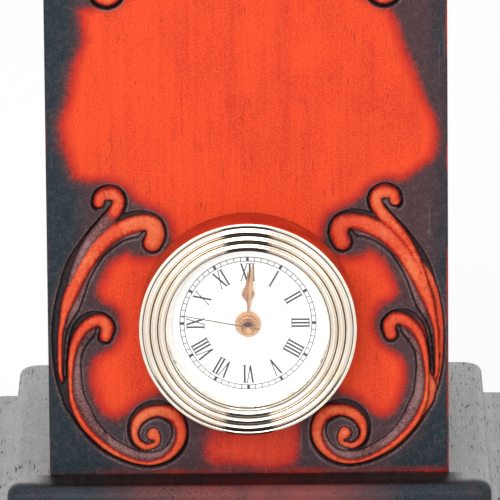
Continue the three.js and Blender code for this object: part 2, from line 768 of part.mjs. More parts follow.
function hourHand() {
  const length = DIAL_VISIBLE_RADIUS - HOUR_HAND_SHORT;
  const lobe = 1.85;
  const lobeAt = length * 0.59;
  const half = [
    [0.75, HOUR_BOSS_RADIUS * 0.6],
    [0.5, lobeAt - 2.2],
    [lobe * 0.75, lobeAt - 1.5],
    [lobe, lobeAt],
    [lobe * 0.6, lobeAt + 1.6],
    [0.55, lobeAt + 3],
    [0.2, length],
  ];
  const blade = solid(
    plate(
      turnedShape(mirrored(half), (SECONDS_SHOWN / 3600) * 30),
      HOUR_HAND_DEPTH,
      HOUR_HAND_DEPTH + HAND_THICKNESS,
    ),
  );
  const hub = boss(
    HOUR_BOSS_RADIUS,
    HOUR_TUBE_RADIUS + RUNNING_CLEARANCE,
    HOUR_HAND_DEPTH - 0.3,
    HOUR_HAND_DEPTH + HAND_THICKNESS,
  );
  return cut(
    joined(blade, hub),
    rod(HOUR_TUBE_RADIUS + RUNNING_CLEARANCE, HOUR_HAND_DEPTH - 2, HOUR_HAND_DEPTH + 2),
  );
}

function minuteHand() {
  const length = DIAL_VISIBLE_RADIUS - MINUTE_HAND_SHORT;
  const half = [
    [0.45, MINUTE_BOSS_RADIUS * 0.6],
    [0.55, length * 0.35],
    [1.05, length * 0.62],
    [0.7, length * 0.82],
    [0.15, length],
  ];
  const blade = solid(
    plate(
      turnedShape(mirrored(half), (SECONDS_SHOWN / 60) * 6),
      MINUTE_HAND_DEPTH,
      MINUTE_HAND_DEPTH + HAND_THICKNESS,
    ),
  );
  const hub = boss(
    MINUTE_BOSS_RADIUS,
    MINUTE_TUBE_RADIUS + RUNNING_CLEARANCE,
    MINUTE_HAND_DEPTH - 0.3,
    MINUTE_HAND_DEPTH + HAND_THICKNESS,
  );
  return cut(
    joined(blade, hub),
    rod(MINUTE_TUBE_RADIUS + RUNNING_CLEARANCE, MINUTE_HAND_DEPTH - 2, MINUTE_HAND_DEPTH + 2),
  );
}

function secondHand() {
  const half = [[0.3, -5], [0.22, 0], [0.12, DIAL_VISIBLE_RADIUS - SECOND_HAND_SHORT]];
  const front = SECOND_HAND_DEPTH;
  const blade = solid(plate(turnedShape(mirrored(half), SECONDS_SHOWN * 6), front, front + 0.25));
  const cap = solid(
    turned(
      [
        [0, front - 0.5],
        [SECOND_CAP_RADIUS - 0.3, front - 0.5],
        [SECOND_CAP_RADIUS, front - 0.2],
        [SECOND_CAP_RADIUS, front + 0.9],
        [0, front + 0.9],
      ],
      SMALL_SEGMENTS,
    ),
  );
  const socket = rod(SECOND_ARBOR_RADIUS + RUNNING_CLEARANCE, front + 0.25, front + 2);
  return cut(joined(blade, cap), socket);
}

// A gear with V-shaped spaces, its first tooth pointing at phase (radians).
function gear(teeth, module, front, back, [x, z], phase) {
  const pitchRadius = (teeth * module) / 2;
  const tip = pitchRadius + TOOTH_ADDENDUM * module;
  const root = pitchRadius - TOOTH_DEDENDUM * module;
  const pitch = (2 * Math.PI) / teeth;
  const points = [];
  for (let i = 0; i < teeth; i++) {
    const middle = phase + i * pitch;
    for (const [radius, offset] of [[tip, -TOOTH_TIP_SHARE / 2], [tip, TOOTH_TIP_SHARE / 2], [root, 0.5]]) {
      const angle = middle + offset * pitch;
      points.push(new THREE.Vector2(x + radius * Math.cos(angle), z + radius * Math.sin(angle)));
    }
  }
  return solid(plate(new THREE.Shape(points), front, back));
}

const moduleFor = (distance, first, second) => (2 * distance) / (first + second);

// The tooth angle of a gear that meshes with another whose tooth angle is known.
function meshedPhase(phase, teeth, direction, otherTeeth) {
  const pitch = (2 * Math.PI) / teeth;
  const otherPitch = (2 * Math.PI) / otherTeeth;
  const line = radians(direction);
  return line + Math.PI + otherPitch * (0.5 - (phase - line) / pitch);
}

const thirdPlace = polar(THIRD_DISTANCE, THIRD_DIRECTION);
const stepPlace = polar(STEP_DISTANCE, STEP_DIRECTION);
const rotorOffset = polar(ROTOR_DISTANCE, ROTOR_DIRECTION);
const rotorPlace = [stepPlace[0] + rotorOffset[0], stepPlace[1] + rotorOffset[1]];
const CENTRE = [0, 0];
const PLATE_BACK = PLATE_FACE + PLATE_THICKNESS;
const PIVOT_FRONT = PLATE_FACE + 0.5;
const PIVOT_BACK = REAR_PLATE_FACE + 0.7;
const wheelBack = (level) => level + WHEEL_THICKNESS;

function secondsWheel(phases) {
  const pinionModule = moduleFor(THIRD_DISTANCE, TEETH.secondsPinion, TEETH.thirdWheel);
  const wheelModule = moduleFor(STEP_DISTANCE, TEETH.secondsWheel, TEETH.stepPinion);
  return joined(
    rod(SECOND_ARBOR_RADIUS, SECOND_HAND_DEPTH + 0.3, PIVOT_BACK),
    gear(TEETH.secondsPinion, pinionModule, THIRD_LEVEL, SECONDS_LEVEL + 0.1, CENTRE, phases.secondsPinion),
    gear(TEETH.secondsWheel, wheelModule, SECONDS_LEVEL, wheelBack(SECONDS_LEVEL), CENTRE, 0),
  );
}

function thirdWheel(phases) {
  const wheelModule = moduleFor(THIRD_DISTANCE, TEETH.secondsPinion, TEETH.thirdWheel);
  const pinionModule = moduleFor(THIRD_DISTANCE, TEETH.thirdPinion, TEETH.centreWheel);
  return joined(
    rod(ARBOR_RADIUS, PIVOT_FRONT, PIVOT_BACK, thirdPlace, 8),
    gear(TEETH.thirdPinion, pinionModule, CENTRE_LEVEL, THIRD_LEVEL + 0.1, thirdPlace, 0),
    gear(TEETH.thirdWheel, wheelModule, THIRD_LEVEL, wheelBack(THIRD_LEVEL), thirdPlace, phases.thirdWheel),
  );
}

function centreWheel(phases) {
  const wheelModule = moduleFor(THIRD_DISTANCE, TEETH.thirdPinion, TEETH.centreWheel);
  const back = wheelBack(CENTRE_LEVEL);
  return cut(
    gear(TEETH.centreWheel, wheelModule, CENTRE_LEVEL, back, CENTRE, phases.centreWheel),
    rod(MINUTE_TUBE_RADIUS + RUNNING_CLEARANCE, CENTRE_LEVEL - 1, back + 1),
  );
}

// The cannon pinion carries the minute hand and slips in the centre wheel when the hands are set.
function cannonPinion(phases) {
  const module = moduleFor(REVERSE_DISTANCE, TEETH.cannon, TEETH.reverseWheel);
  const collarFront = wheelBack(CENTRE_LEVEL) + RUNNING_CLEARANCE;
  const pinionBack = CENTRE_LEVEL - RUNNING_CLEARANCE;
  const whole = joined(
    rod(MINUTE_TUBE_RADIUS, MINUTE_HAND_DEPTH - 0.4, collarFront + COLLAR_THICKNESS),
    rod(MINUTE_TUBE_RADIUS + COLLAR_THICKNESS, collarFront, collarFront + COLLAR_THICKNESS),
    gear(TEETH.cannon, module, MINUTE_LEVEL, pinionBack, CENTRE, phases.cannon),
  );
  return cut(whole, rod(MINUTE_TUBE_BORE, MINUTE_HAND_DEPTH - 2, CENTRE_LEVEL + 2));
}

function reverseWheel(phases) {
  const wheelModule = moduleFor(REVERSE_DISTANCE, TEETH.cannon, TEETH.reverseWheel);
  const pinionModule = moduleFor(REVERSE_DISTANCE, TEETH.reversePinion, TEETH.hourWheel);
  return joined(
    rod(KNOB_STEM_RADIUS, PIVOT_FRONT, CUP_LENGTH + CLEARANCE + 0.8, KNOB_PLACE, 10),
    gear(TEETH.reversePinion, pinionModule, HOUR_LEVEL, MINUTE_LEVEL + 0.1, KNOB_PLACE, 0),
    gear(
      TEETH.reverseWheel,
      wheelModule,
      MINUTE_LEVEL,
      wheelBack(MINUTE_LEVEL),
      KNOB_PLACE,
      phases.reverseWheel,
    ),
  );
}

function hourWheel(phases) {
  const wheelModule = moduleFor(REVERSE_DISTANCE, TEETH.reversePinion, TEETH.hourWheel);
  const whole = joined(
    rod(HOUR_TUBE_RADIUS, HOUR_HAND_DEPTH - 0.4, wheelBack(HOUR_LEVEL)),
    gear(TEETH.hourWheel, wheelModule, HOUR_LEVEL, wheelBack(HOUR_LEVEL), CENTRE, phases.hourWheel),
  );
  return cut(whole, rod(HOUR_TUBE_BORE, HOUR_HAND_DEPTH - 2, HOUR_LEVEL + 2));
}

function stepWheel(phases) {
  const pinionModule = moduleFor(STEP_DISTANCE, TEETH.secondsWheel, TEETH.stepPinion);
  const wheelModule = moduleFor(ROTOR_DISTANCE, TEETH.stepWheel, TEETH.rotorPinion);
  return joined(
    rod(ARBOR_RADIUS, PIVOT_FRONT, PIVOT_BACK, stepPlace, 8),
    gear(TEETH.stepPinion, pinionModule, SECONDS_LEVEL, ROTOR_LEVEL + 0.1, stepPlace, phases.stepPinion),
    gear(TEETH.stepWheel, wheelModule, ROTOR_LEVEL, wheelBack(ROTOR_LEVEL), stepPlace, 0),
  );
}

const MAGNET_FRONT = ROTOR_LEVEL - 0.2 - MAGNET_LENGTH;
const STATOR_FRONT = MAGNET_FRONT + (MAGNET_LENGTH - STATOR_THICKNESS) / 2;

function rotor(phases) {
  const pinionModule = moduleFor(ROTOR_DISTANCE, TEETH.stepWheel, TEETH.rotorPinion);
  return joined(
    rod(ARBOR_RADIUS, PIVOT_FRONT, PIVOT_BACK, rotorPlace, 8),
    rod(MAGNET_RADIUS, MAGNET_FRONT, MAGNET_FRONT + MAGNET_LENGTH, rotorPlace),
    gear(
      TEETH.rotorPinion,
      pinionModule,
      MAGNET_FRONT + MAGNET_LENGTH - 0.1,
      wheelBack(ROTOR_LEVEL),
      rotorPlace,
      phases.rotorPinion,
    ),
  );
}

function meshPhases() {
  const cannonPhase = 0;
  const thirdBack = THIRD_DIRECTION + 180;
  const reverseBack = REVERSE_DIRECTION + 180;
  return {
    secondsPinion: 0,
    cannon: cannonPhase,
    thirdWheel: meshedPhase(0, TEETH.secondsPinion, THIRD_DIRECTION, TEETH.thirdWheel),
    centreWheel: meshedPhase(0, TEETH.thirdPinion, thirdBack, TEETH.centreWheel),
    reverseWheel: meshedPhase(cannonPhase, TEETH.cannon, REVERSE_DIRECTION, TEETH.reverseWheel),
    hourWheel: meshedPhase(0, TEETH.reversePinion, reverseBack, TEETH.hourWheel),
    stepPinion: meshedPhase(0, TEETH.secondsWheel, STEP_DIRECTION, TEETH.stepPinion),
    rotorPinion: meshedPhase(0, TEETH.stepWheel, ROTOR_DIRECTION, TEETH.rotorPinion),
  };
}

function knob() {
  const front = CUP_LENGTH + CLEARANCE;
  const points = [];
  for (let i = 0; i < KNOB_FLUTES * 2; i++) {
    const [x, y] = polar(i % 2 ? KNOB_RADIUS - 0.4 : KNOB_RADIUS, (180 * i) / KNOB_FLUTES);
    points.push(new THREE.Vector2(KNOB_PLACE[0] + x, KNOB_PLACE[1] + y));
  }
  const head = solid(plate(new THREE.Shape(points), front, front + KNOB_LENGTH));
  return cut(head, rod(KNOB_STEM_RADIUS + 0.15, front - 1, front + 1, KNOB_PLACE, 10));
}

// Plate outline, and the corners where the pillars stand.
function plateBlank(front, back) {
  return solid(block([PLATE_LEFT, PLATE_RIGHT], [front, back], [-PLATE_HALF_HEIGHT, PLATE_HALF_HEIGHT]));
}

const PILLARS = [PLATE_LEFT + PILLAR_INSET, PLATE_RIGHT - PILLAR_INSET].flatMap((x) =>
  [-1, 1].map((side) => [x, side * (PLATE_HALF_HEIGHT - PILLAR_INSET)]),
);
const ARBORS = [thirdPlace, stepPlace, rotorPlace];

function frontPlate() {
  const pillars = PILLARS.map((place) =>
    rod(PILLAR_RADIUS, PLATE_BACK - 0.2, REAR_PLATE_FACE, place, 10),
  );
  const pivots = [...ARBORS, KNOB_PLACE].map((place) =>
    rod(KNOB_STEM_RADIUS + 0.2, PIVOT_FRONT - CLEARANCE, PLATE_BACK + 1, place, 8),
  );
  const tubeHole = rod(HOUR_TUBE_RADIUS + CLEARANCE, PLATE_FACE - 1, PLATE_BACK + 1);
  return cut(joined(plateBlank(PLATE_FACE, PLATE_BACK), ...pillars), tubeHole, ...pivots);
}

function rearPlate() {
  const back = REAR_PLATE_FACE + REAR_PLATE_THICKNESS;
  const pivots = [...ARBORS, CENTRE].map((place) =>
    rod(SECOND_ARBOR_RADIUS + 0.2, REAR_PLATE_FACE - 1, back + 1, place, 8),
  );
  const stem = rod(KNOB_STEM_RADIUS + 0.2, REAR_PLATE_FACE - 1, back + 1, KNOB_PLACE, 8);
  const cell = rod(
    BATTERY_RADIUS + CLEARANCE,
    REAR_PLATE_FACE - 1,
    back + 1,
    [BATTERY_X, BATTERY_Z],
    20,
  );
  return cut(plateBlank(REAR_PLATE_FACE, back), stem, cell, ...pivots);
}

const COIL_DEPTH = STATOR_FRONT + STATOR_THICKNESS / 2;
const COIL_TOP = rotorPlace[1] + COIL_LENGTH + 2;

// The stator runs from under the coil, round the rotor's hole and back up to the coil's other end.
function stator() {
  const back = STATOR_FRONT + STATOR_THICKNESS;
  const [rx, rz] = rotorPlace;
  const limb = (x0, x1, z0, z1) => solid(block([x0, x1], [STATOR_FRONT, back], [z0, z1]));
  const coreHalf = COIL_RADIUS * 0.45;
  const ring = rod(STATOR_RING_RADIUS, STATOR_FRONT, back, [rx, rz], 20);
  const whole = joined(
    ring,
    limb(rx, COIL_X + coreHalf, rz - 1.6, rz + 0.2),
    limb(COIL_X - coreHalf, COIL_X + coreHalf, rz - 1.6, COIL_TOP),
    limb(rx + 0.6, COIL_X + coreHalf, COIL_TOP - 1.6, COIL_TOP),
    limb(rx + 0.6, rx + 2.2, rz + 1, COIL_TOP),
  );
  return cut(whole, rod(MAGNET_RADIUS + CLEARANCE, STATOR_FRONT - 1, back + 1, [rx, rz], 20));
}

function coil() {
  const bottom = rotorPlace[1] + STATOR_RING_RADIUS - 1;
  const tube = turnedUpright(
    [[0, bottom], [COIL_RADIUS, bottom], [COIL_RADIUS, COIL_TOP - 1.9], [0, COIL_TOP - 1.9]],
    12,
  ).translate(COIL_X, COIL_DEPTH, 0);
  const coreHalf = COIL_RADIUS * 0.45 + 0.15;
  const core = block(
    [COIL_X - coreHalf, COIL_X + coreHalf],
    [STATOR_FRONT - 0.15, STATOR_FRONT + STATOR_THICKNESS + 0.15],
    [bottom - 1, COIL_TOP],
  );
  return cut(solid(tube), solid(core));
}

const BOARD_FACE = MAGNET_FRONT - 1;
const BOARD_BACK = BOARD_FACE + BOARD_THICKNESS;
const BATTERY_FRONT = CUP_LENGTH - CLEARANCE - BATTERY_LENGTH;

function circuitBoard() {
  const right = BOARD_RIGHT;
  return block([BOARD_LEFT, right], [BOARD_FACE, BOARD_BACK], [-PLATE_HALF_HEIGHT, BOARD_TOP]);
}

function chipCover() {
  const [x, z] = [BOARD_LEFT + 4, (BOARD_TOP - PLATE_HALF_HEIGHT) / 2];
  const profile = [[0, BOARD_FACE - 1], [1.2, BOARD_FACE - 0.8], [1.9, BOARD_FACE], [0, BOARD_FACE]];
  return turned(profile, 12).translate(x, 0, z);
}

function crystal() {
  const radius = 0.9;
  const length = 5;
  const z = (BOARD_TOP - PLATE_HALF_HEIGHT) / 2 + 1.2;
  const can = new THREE.CylinderGeometry(radius, radius, length, 10).applyMatrix4(
    new THREE.Matrix4().set(0, -1, 0, 0, 1, 0, 0, 0, 0, 0, 1, 0, 0, 0, 0, 1),
  );
  return can.translate(BOARD_LEFT + 3.5, BOARD_BACK + radius + 0.02, z);
}

function negativeContact() {
  const x0 = BATTERY_X - CONTACT_WIDTH / 2;
  return block(
    [x0, x0 + CONTACT_WIDTH],
    [BATTERY_FRONT - CLEARANCE - CONTACT_THICKNESS, BATTERY_FRONT - CLEARANCE],
    [BATTERY_Z - 1.5, -PLATE_HALF_HEIGHT + 3],
  );
}

function positiveContact() {
  const x1 = BATTERY_X - BATTERY_RADIUS - CLEARANCE;
  return block(
    [x1 - CONTACT_THICKNESS, x1],
    [BOARD_BACK, BOARD_BACK + CONTACT_WIDTH],
    [BATTERY_Z - 2, -PLATE_HALF_HEIGHT + 3],
  );
}

function battery() {
  const rim = BATTERY_FRONT + BATTERY_LENGTH;
  return turned(
    [
      [0, BATTERY_FRONT],
      [BATTERY_RADIUS - 1, BATTERY_FRONT],
      [BATTERY_RADIUS - 1, BATTERY_FRONT + 0.6],
      [BATTERY_RADIUS, BATTERY_FRONT + 0.9],
      [BATTERY_RADIUS, rim - 0.4],
      [BATTERY_RADIUS - 0.4, rim],
      [0, rim],
    ],
    20,
  ).translate(BATTERY_X, 0, BATTERY_Z);
}

function batteryCover() {
  const grip = 0.5;
  const lid = solid(
    block(
      [BATTERY_X - COVER_HALF, BATTERY_X + COVER_HALF],
      [CUP_LENGTH, CUP_LENGTH + COVER_THICKNESS],
      [BATTERY_Z - COVER_HALF, BATTERY_Z + COVER_HALF],
    ),
  );
  const ribs = [-3, -1, 1].map((offset) =>
    solid(
      block(
        [BATTERY_X + offset, BATTERY_X + offset + 0.8],
        [CUP_LENGTH + COVER_THICKNESS - 0.2, CUP_LENGTH + COVER_THICKNESS + grip],
        [BATTERY_Z - 3, BATTERY_Z + 3],
      ),
    ),
  );
  return joined(lid, ...ribs);
}

function buildMovement() {
  const group = new THREE.Group();
  const phases = meshPhases();
  place("movement_front_plate", frontPlate(), whitePlastic, group);
  place("movement_rear_plate", rearPlate(), whitePlastic, group);
  place("seconds_wheel", secondsWheel(phases), whitePlastic, group);
  place("third_wheel", thirdWheel(phases), whitePlastic, group);
  place("centre_wheel", centreWheel(phases), whitePlastic, group);
  place("cannon_pinion", cannonPinion(phases), whitePlastic, group);
  place("reverse_wheel", reverseWheel(phases), whitePlastic, group);
  place("hour_wheel", hourWheel(phases), whitePlastic, group);
  place("step_wheel", stepWheel(phases), whitePlastic, group);
  place("motor_rotor", rotor(phases), steel, group);
  place("motor_stator", stator(), steel, group);
  place("motor_coil", coil(), copper, group);
  place("circuit_board", circuitBoard(), circuitGreen, group);
  place("chip_cover", chipCover(), blackPlastic, group);
  place("quartz_crystal", crystal(), steel, group);
  place("negative_contact", negativeContact(), brass, group);
  place("positive_contact", positiveContact(), brass, group);
  return group;
}

function buildCapsule() {
  const group = new THREE.Group();
  group.position.set(0, RING_FACE + CAPSULE_RECESS, DIAL_AXIS);
  place("bezel", bezel(), gold, group);
  place("lens", lens(), glass, group);
  place("dial", dial(), dialWhite, group);
  place("capsule_cup", cup(), blackPlastic, group);
  place("grip_ring", gripRing(), rubber, group);
  place("hour_hand", hourHand(), handGold, group);
  place("minute_hand", minuteHand(), handGold, group);
  place("second_hand", secondHand(), handGold, group);
  place("setting_knob", knob(), blackPlastic, group);
  place("battery", battery(), steel, group);
  place("battery_cover", batteryCover(), blackPlastic, group);
  group.add(buildMovement());
  return group;
}

const clock = new THREE.Group();
clock.add(buildCase(), buildCapsule());

export default clock;
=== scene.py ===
"""Dresses the carved wooden clock: a stained tower with airbrushed C-scrolls, a stepped base and a
round gold quartz capsule. Metres, +Z up, the dial faces -Y."""
from types import SimpleNamespace

import bmesh
import bpy
import numpy as np
from bpy.props import FloatProperty, FloatVectorProperty, IntProperty, PointerProperty
from mathutils import Matrix, Vector


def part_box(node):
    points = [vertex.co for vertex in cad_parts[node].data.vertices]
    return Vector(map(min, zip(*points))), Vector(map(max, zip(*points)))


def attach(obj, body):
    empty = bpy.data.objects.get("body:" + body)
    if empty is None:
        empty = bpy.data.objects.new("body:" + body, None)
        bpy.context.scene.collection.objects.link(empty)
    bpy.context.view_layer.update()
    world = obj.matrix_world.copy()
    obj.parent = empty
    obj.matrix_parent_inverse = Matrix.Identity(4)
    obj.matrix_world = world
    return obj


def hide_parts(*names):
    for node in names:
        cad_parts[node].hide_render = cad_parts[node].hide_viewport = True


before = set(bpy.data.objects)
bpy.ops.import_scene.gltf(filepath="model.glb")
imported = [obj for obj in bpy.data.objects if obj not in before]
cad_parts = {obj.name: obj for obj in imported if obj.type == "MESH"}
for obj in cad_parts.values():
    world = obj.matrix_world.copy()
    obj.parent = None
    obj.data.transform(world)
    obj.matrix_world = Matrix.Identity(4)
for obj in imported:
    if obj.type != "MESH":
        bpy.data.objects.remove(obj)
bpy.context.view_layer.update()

bl_info = {
    "name": "Carved clock dressing",
    "version": (1, 0, 0),
    "blender": (4, 5, 0),
    "location": "3D View > Sidebar > Clock",
    "description": "Finely shaped pieces and wood, gold and dial finishes for a carved table clock",
    "category": "Object",
}

MM = 0.001
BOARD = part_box("front_board")
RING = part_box("mounting_ring")
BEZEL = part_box("bezel")
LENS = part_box("lens")
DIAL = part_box("dial")
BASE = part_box("base_board")
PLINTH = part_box("plinth_board")
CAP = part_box("cap_board")
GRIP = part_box("grip_ring")
FACE_Y = BOARD[0].y
WIDTH = BOARD[1].x - BOARD[0].x
HEIGHT = BOARD[1].z - BOARD[0].z
AXIS_Z = (BEZEL[0].z + BEZEL[1].z) / 2
BORE_RADIUS = GRIP[1].x + 0.3 * MM
# Points that are worked on together, a distance in mm that rules a point out, and the radius in
# metres below which a turned ring is a tip.
POINTS_AT_ONCE = 6000
FAR = 1000.0
TIP_RADIUS = 1e-7
# How far the carving of one corner reaches across and up the board, and how far its fine mesh does.
CARVED_ACROSS, CARVED_UP = 46, 93
FINE_ACROSS, FINE_UP = 44 * MM, 92 * MM
# Masks on the carved board's mesh that its stain reads, among them painted shade, shadow, sheen and
# highlight.
STAIN_MASKS = (
    "field", "crest", "stem", "flute", "line", "wear_and_highlight", "pocket", "near", "arris", "outer", "glow", "foot",
)


def linear(red, green, blue):
    """A colour of 0 to 255 per channel as Blender's linear values."""
    shares = [value / 255 for value in (red, green, blue)]
    return tuple(s / 12.92 if s <= 0.04045 else ((s + 0.055) / 1.055) ** 2.4 for s in shares)


def length(name, millimetres, description):
    return FloatProperty(
        name=name, description=description, default=millimetres * MM, subtype="DISTANCE", unit="LENGTH"
    )


def colour(name, value, description):
    return FloatVectorProperty(
        name=name, description=description, default=linear(*value), subtype="COLOR", min=0, max=1
    )


class CarvingSizes(bpy.types.PropertyGroup):
    """Sizes of the carved front board."""

    depth: length("Carving depth", 2.4, "From the board's face to the floor of the carving")
    crest: length("Crest below face", 0.15, "How far a ridge's crest lies below the face")
    arris: length("Arris radius", 0.5, "Rounding of the board's outer edges")
    fine_step: length("Fine step", 0.33, "Mesh spacing over the carving")
    coarse_step: length("Coarse step", 1.6, "Mesh spacing over the plain field")
    # The tool line is dark stain in the cut and partly a painted shadow at the foot of the wall.
    line_width: length("Tool line", 0.42, "Width of the dark line cut along the scrolls")


class CapsuleSizes(bpy.types.PropertyGroup):
    """Sizes of the gold capsule, its dial print and its hands."""

    rim_width: length("Rim width", 1.1, "Flat rim outside the ribs")
    rib_width: length("Rib width", 2.25, "Width of one rounded rib")
    rib_bulge: length("Rib bulge", 0.8, "How far a rib stands out of its grooves")
    rib_step: length("Rib step", 0.3, "Climb from one groove to the next")
    track_outer: length("Track outer radius", 20.35, "Outer line of the minute track")
    track_inner: length("Track inner radius", 19.1, "Inner line of the minute track")
    print_line: length("Printed line", 0.23, "Width of the thin printed lines")
    print_bar: length("Printed bar", 0.56, "Width of the thick strokes of a numeral")
    numeral_inner: length("Numeral foot radius", 13.1, "Where the numerals' feet stand")
    numeral_outer: length("Numeral head radius", 18.3, "Where the numerals' heads end")
    segments: IntProperty(name="Turned segments", description="Facets of a turned piece", default=144)


class ClockColours(bpy.types.PropertyGroup):
    """Colours of the stains, metals and print; some of them also stand for painted sheen, highlight and
    shade.
    """

    orange: colour("Orange stain", (224, 72, 33), "Bright stain on the field and the crests")
    # The crest colour is lighter stain on the ridges and partly a painted highlight on them.
    crest: colour("Crest stain", (224, 136, 88), "Lighter stain on the ridges")
    red: colour("Red stain", (178, 36, 26), "Where the orange turns dark")
    blood: colour("Dark red stain", (120, 44, 40), "Between the red and the plum")
    valley: colour("Valley stain", (40, 44, 52), "Bare valleys between the scrolls")
    # The flute colour is a painted sheen down the middle of the hollows beside the ridges.
    flute: colour("Flute stain", (148, 118, 118), "Rubbed hollows beside the ridges")
    plum: colour("Plum stain", (66, 44, 48), "Between the red and the dark edge")
    teal: colour("Dark stain", (25, 40, 47), "Airbrushed edge and the base")
    line: colour("Line black", (24, 22, 26), "Deep lines of the carving")
    # This colour is rubbed wear on the arrises and partly a painted highlight along the rim; it also
    # lightens fine specks.
    wear_and_highlight: colour("Worn arris", (146, 122, 122), "Rubbed edges of the carving")
    gold: colour("Gold", (254, 240, 220), "Plated bezel")
    dial: colour("Dial white", (254, 254, 253), "Dial")
    ink: colour("Print", (12, 18, 28), "Numerals and minute track")


# One corner's scrolls, from each bulb to its tail, in millimetres from the board's nearest corner:
# across, up, half width to the right, half width to the left, flute beyond the left half,
# then the bare valley on the right and on the left, out to the rim. Right is seen along the scroll.
OUTER_SCROLL = [
    (31.65, 71.5, 3.0, 3.0, 0, 0.35, 0.35), (32.3, 73.9, 3.4, 3.0, 0, 0.4, 0),
    (31.5, 76.4, 3.5, 2.6, 0, 0.6, 0), (29.4, 77.6, 2.9, 2.5, 0.4, 1.2, 0),
    (26.7, 77.7, 2.4, 2.9, 1.7, 1.7, 0), (23.7, 76.8, 2.4, 2.9, 1.5, 1.6, 0),
    (20.7, 75.2, 2.5, 2.8, 1.2, 0.8, 0), (17.7, 72.8, 2.5, 2.6, 1.1, 0.7, 0),
    (14.7, 69.4, 2.5, 2.3, 0.9, 0.7, 0), (11.9, 65.3, 2.4, 2.2, 1.1, 0.9, 0),
    (9.4, 61.2, 2.3, 2.2, 1.5, 1.6, 0), (7.2, 56.4, 2.2, 2.1, 2.1, 2.1, 0),
    (5.6, 52.0, 1.8, 1.5, 2.6, 2.0, 0), (4.4, 47.2, 1.1, 0.9, 1.7, 2.2, 0),
    (3.7, 43.5, 0.9, 0.8, 1.3, 1.9, 0), (3.5, 39.2, 0.8, 0.7, 1.0, 1.7, 0),
    (3.45, 34.7, 0.8, 0.7, 0.8, 1.4, 0), (3.6, 31.3, 0.7, 0.6, 0.6, 1.2, 0),
    (4.2, 28.6, 0.5, 0.5, 0.5, 1.4, 0), (5.1, 25.8, 0.3, 0.3, 0.4, 1.8, 0),
]
TOP_SCROLL = [
    (15.85, 84.1, 1.8, 2.0, 0, 0.2, 0.7), (16.5, 86.1, 1.9, 2.0, 0, 0, 0.8),
    (18.9, 86.8, 2.4, 2.3, 0, 0, 0.8), (21.1, 85.8, 2.1, 2.1, 0, 0, 0.8),
    (21.7, 83.8, 2.4, 1.9, 0, 0, 0.7), (20.5, 81.1, 2.3, 2.0, 0, 0.4, 0.5),
    (17.4, 77.7, 2.0, 2.1, 0, 0.6, 0.2), (14.2, 74.2, 1.7, 1.8, 0, 0.8, 0.2),
    (11.4, 70.1, 1.4, 1.4, 0, 1.3, 0.2), (9.3, 66.0, 1.2, 1.1, 0, 2.0, 0.2),
    (7.7, 62.2, 0.9, 0.7, 0, 2.3, 0.2), (6.4, 58.8, 0.5, 0.4, 0, 2.4, 0.2),
]
LOWER_SCROLL = [
    (17.2, 42.8, 2.1, 2.1, 0, 0.35, 0.35), (17.4, 45.5, 2.6, 2.1, 0, 0.6, 0),
    (16.1, 47.3, 2.4, 2.0, 0, 0.8, 0), (13.7, 47.5, 1.9, 2.2, 0.5, 1.6, 0),
    (11.2, 46.0, 1.6, 1.9, 2.3, 1.9, 0), (8.9, 42.8, 1.6, 1.6, 2.4, 1.1, 0),
    (7.4, 38.7, 1.3, 1.2, 2.2, 0.6, 0), (6.75, 34.6, 1.1, 1.0, 2.3, 0.6, 0),
    (6.55, 30.6, 0.9, 0.6, 3.0, 0.8, 0), (6.6, 27.1, 0.8, 0.6, 3.3, 2.3, 0),
    (7.0, 23.1, 1.0, 0.7, 3.6, 2.1, 0), (8.4, 19.0, 1.2, 0.9, 3.8, 1.0, 0),
    (10.5, 15.2, 1.2, 1.0, 3.4, 0.7, 0), (13.3, 11.8, 1.1, 1.0, 3.1, 0.8, 0),
    (16.9, 8.5, 1.1, 0.9, 3.0, 0.8, 0), (21.2, 5.8, 0.95, 0.8, 3.1, 0.75, 0),
    (25.8, 3.9, 0.8, 0.7, 2.9, 0.7, 0), (30.1, 3.3, 0.8, 0.8, 3.0, 0.7, 0),
    (33.8, 4.2, 1.0, 1.0, 2.5, 0.8, 0), (36.8, 6.3, 1.3, 1.3, 1.9, 0.9, 0),
    (38.9, 9.7, 1.8, 1.3, 1.8, 0.8, 0), (39.4, 13.4, 2.1, 1.5, 1.3, 0.5, 0),
    (38.3, 16.8, 2.3, 1.9, 0.8, 0.5, 0), (35.9, 18.9, 2.3, 2.2, 0.6, 0.7, 0),
    (32.7, 19.5, 1.8, 2.0, 0.3, 2.0, 0), (29.3, 18.5, 2.0, 1.8, 0.3, 1.8, 0),
    (26.6, 16.1, 1.8, 1.6, 0.3, 1.3, 0), (25.6, 12.8, 1.3, 1.3, 0.3, 1.0, 0),
    (26.6, 10.0, 1.4, 1.2, 0.3, 0.8, 0), (28.8, 8.5, 1.3, 1.2, 0.3, 0.2, 0),
    (30.6, 8.7, 1.2, 1.2, 0.2, 0, 0), (32.2, 9.6, 1.2, 1.2, 0, 0, 0), (32.4, 11.2, 1.5, 1.7, 0, 0, 0),
    (31.3, 12.3, 2.5, 2.5, 0, 0, 0),
]
# Outline of the bright field, from the board's mid height down its left side: across, up.
FIELD_TOP_LEFT = [(7.1, 116.5), (4.9, 109.4), (5.4, 102.3), (7.7, 95), (8.6, 91.9)]
FIELD_TOP_RIGHT = [(7.5, 116.5), (3.7, 109.4), (2.8, 104.8), (4.4, 97.4), (9.2, 93.4), (12, 91.5)]
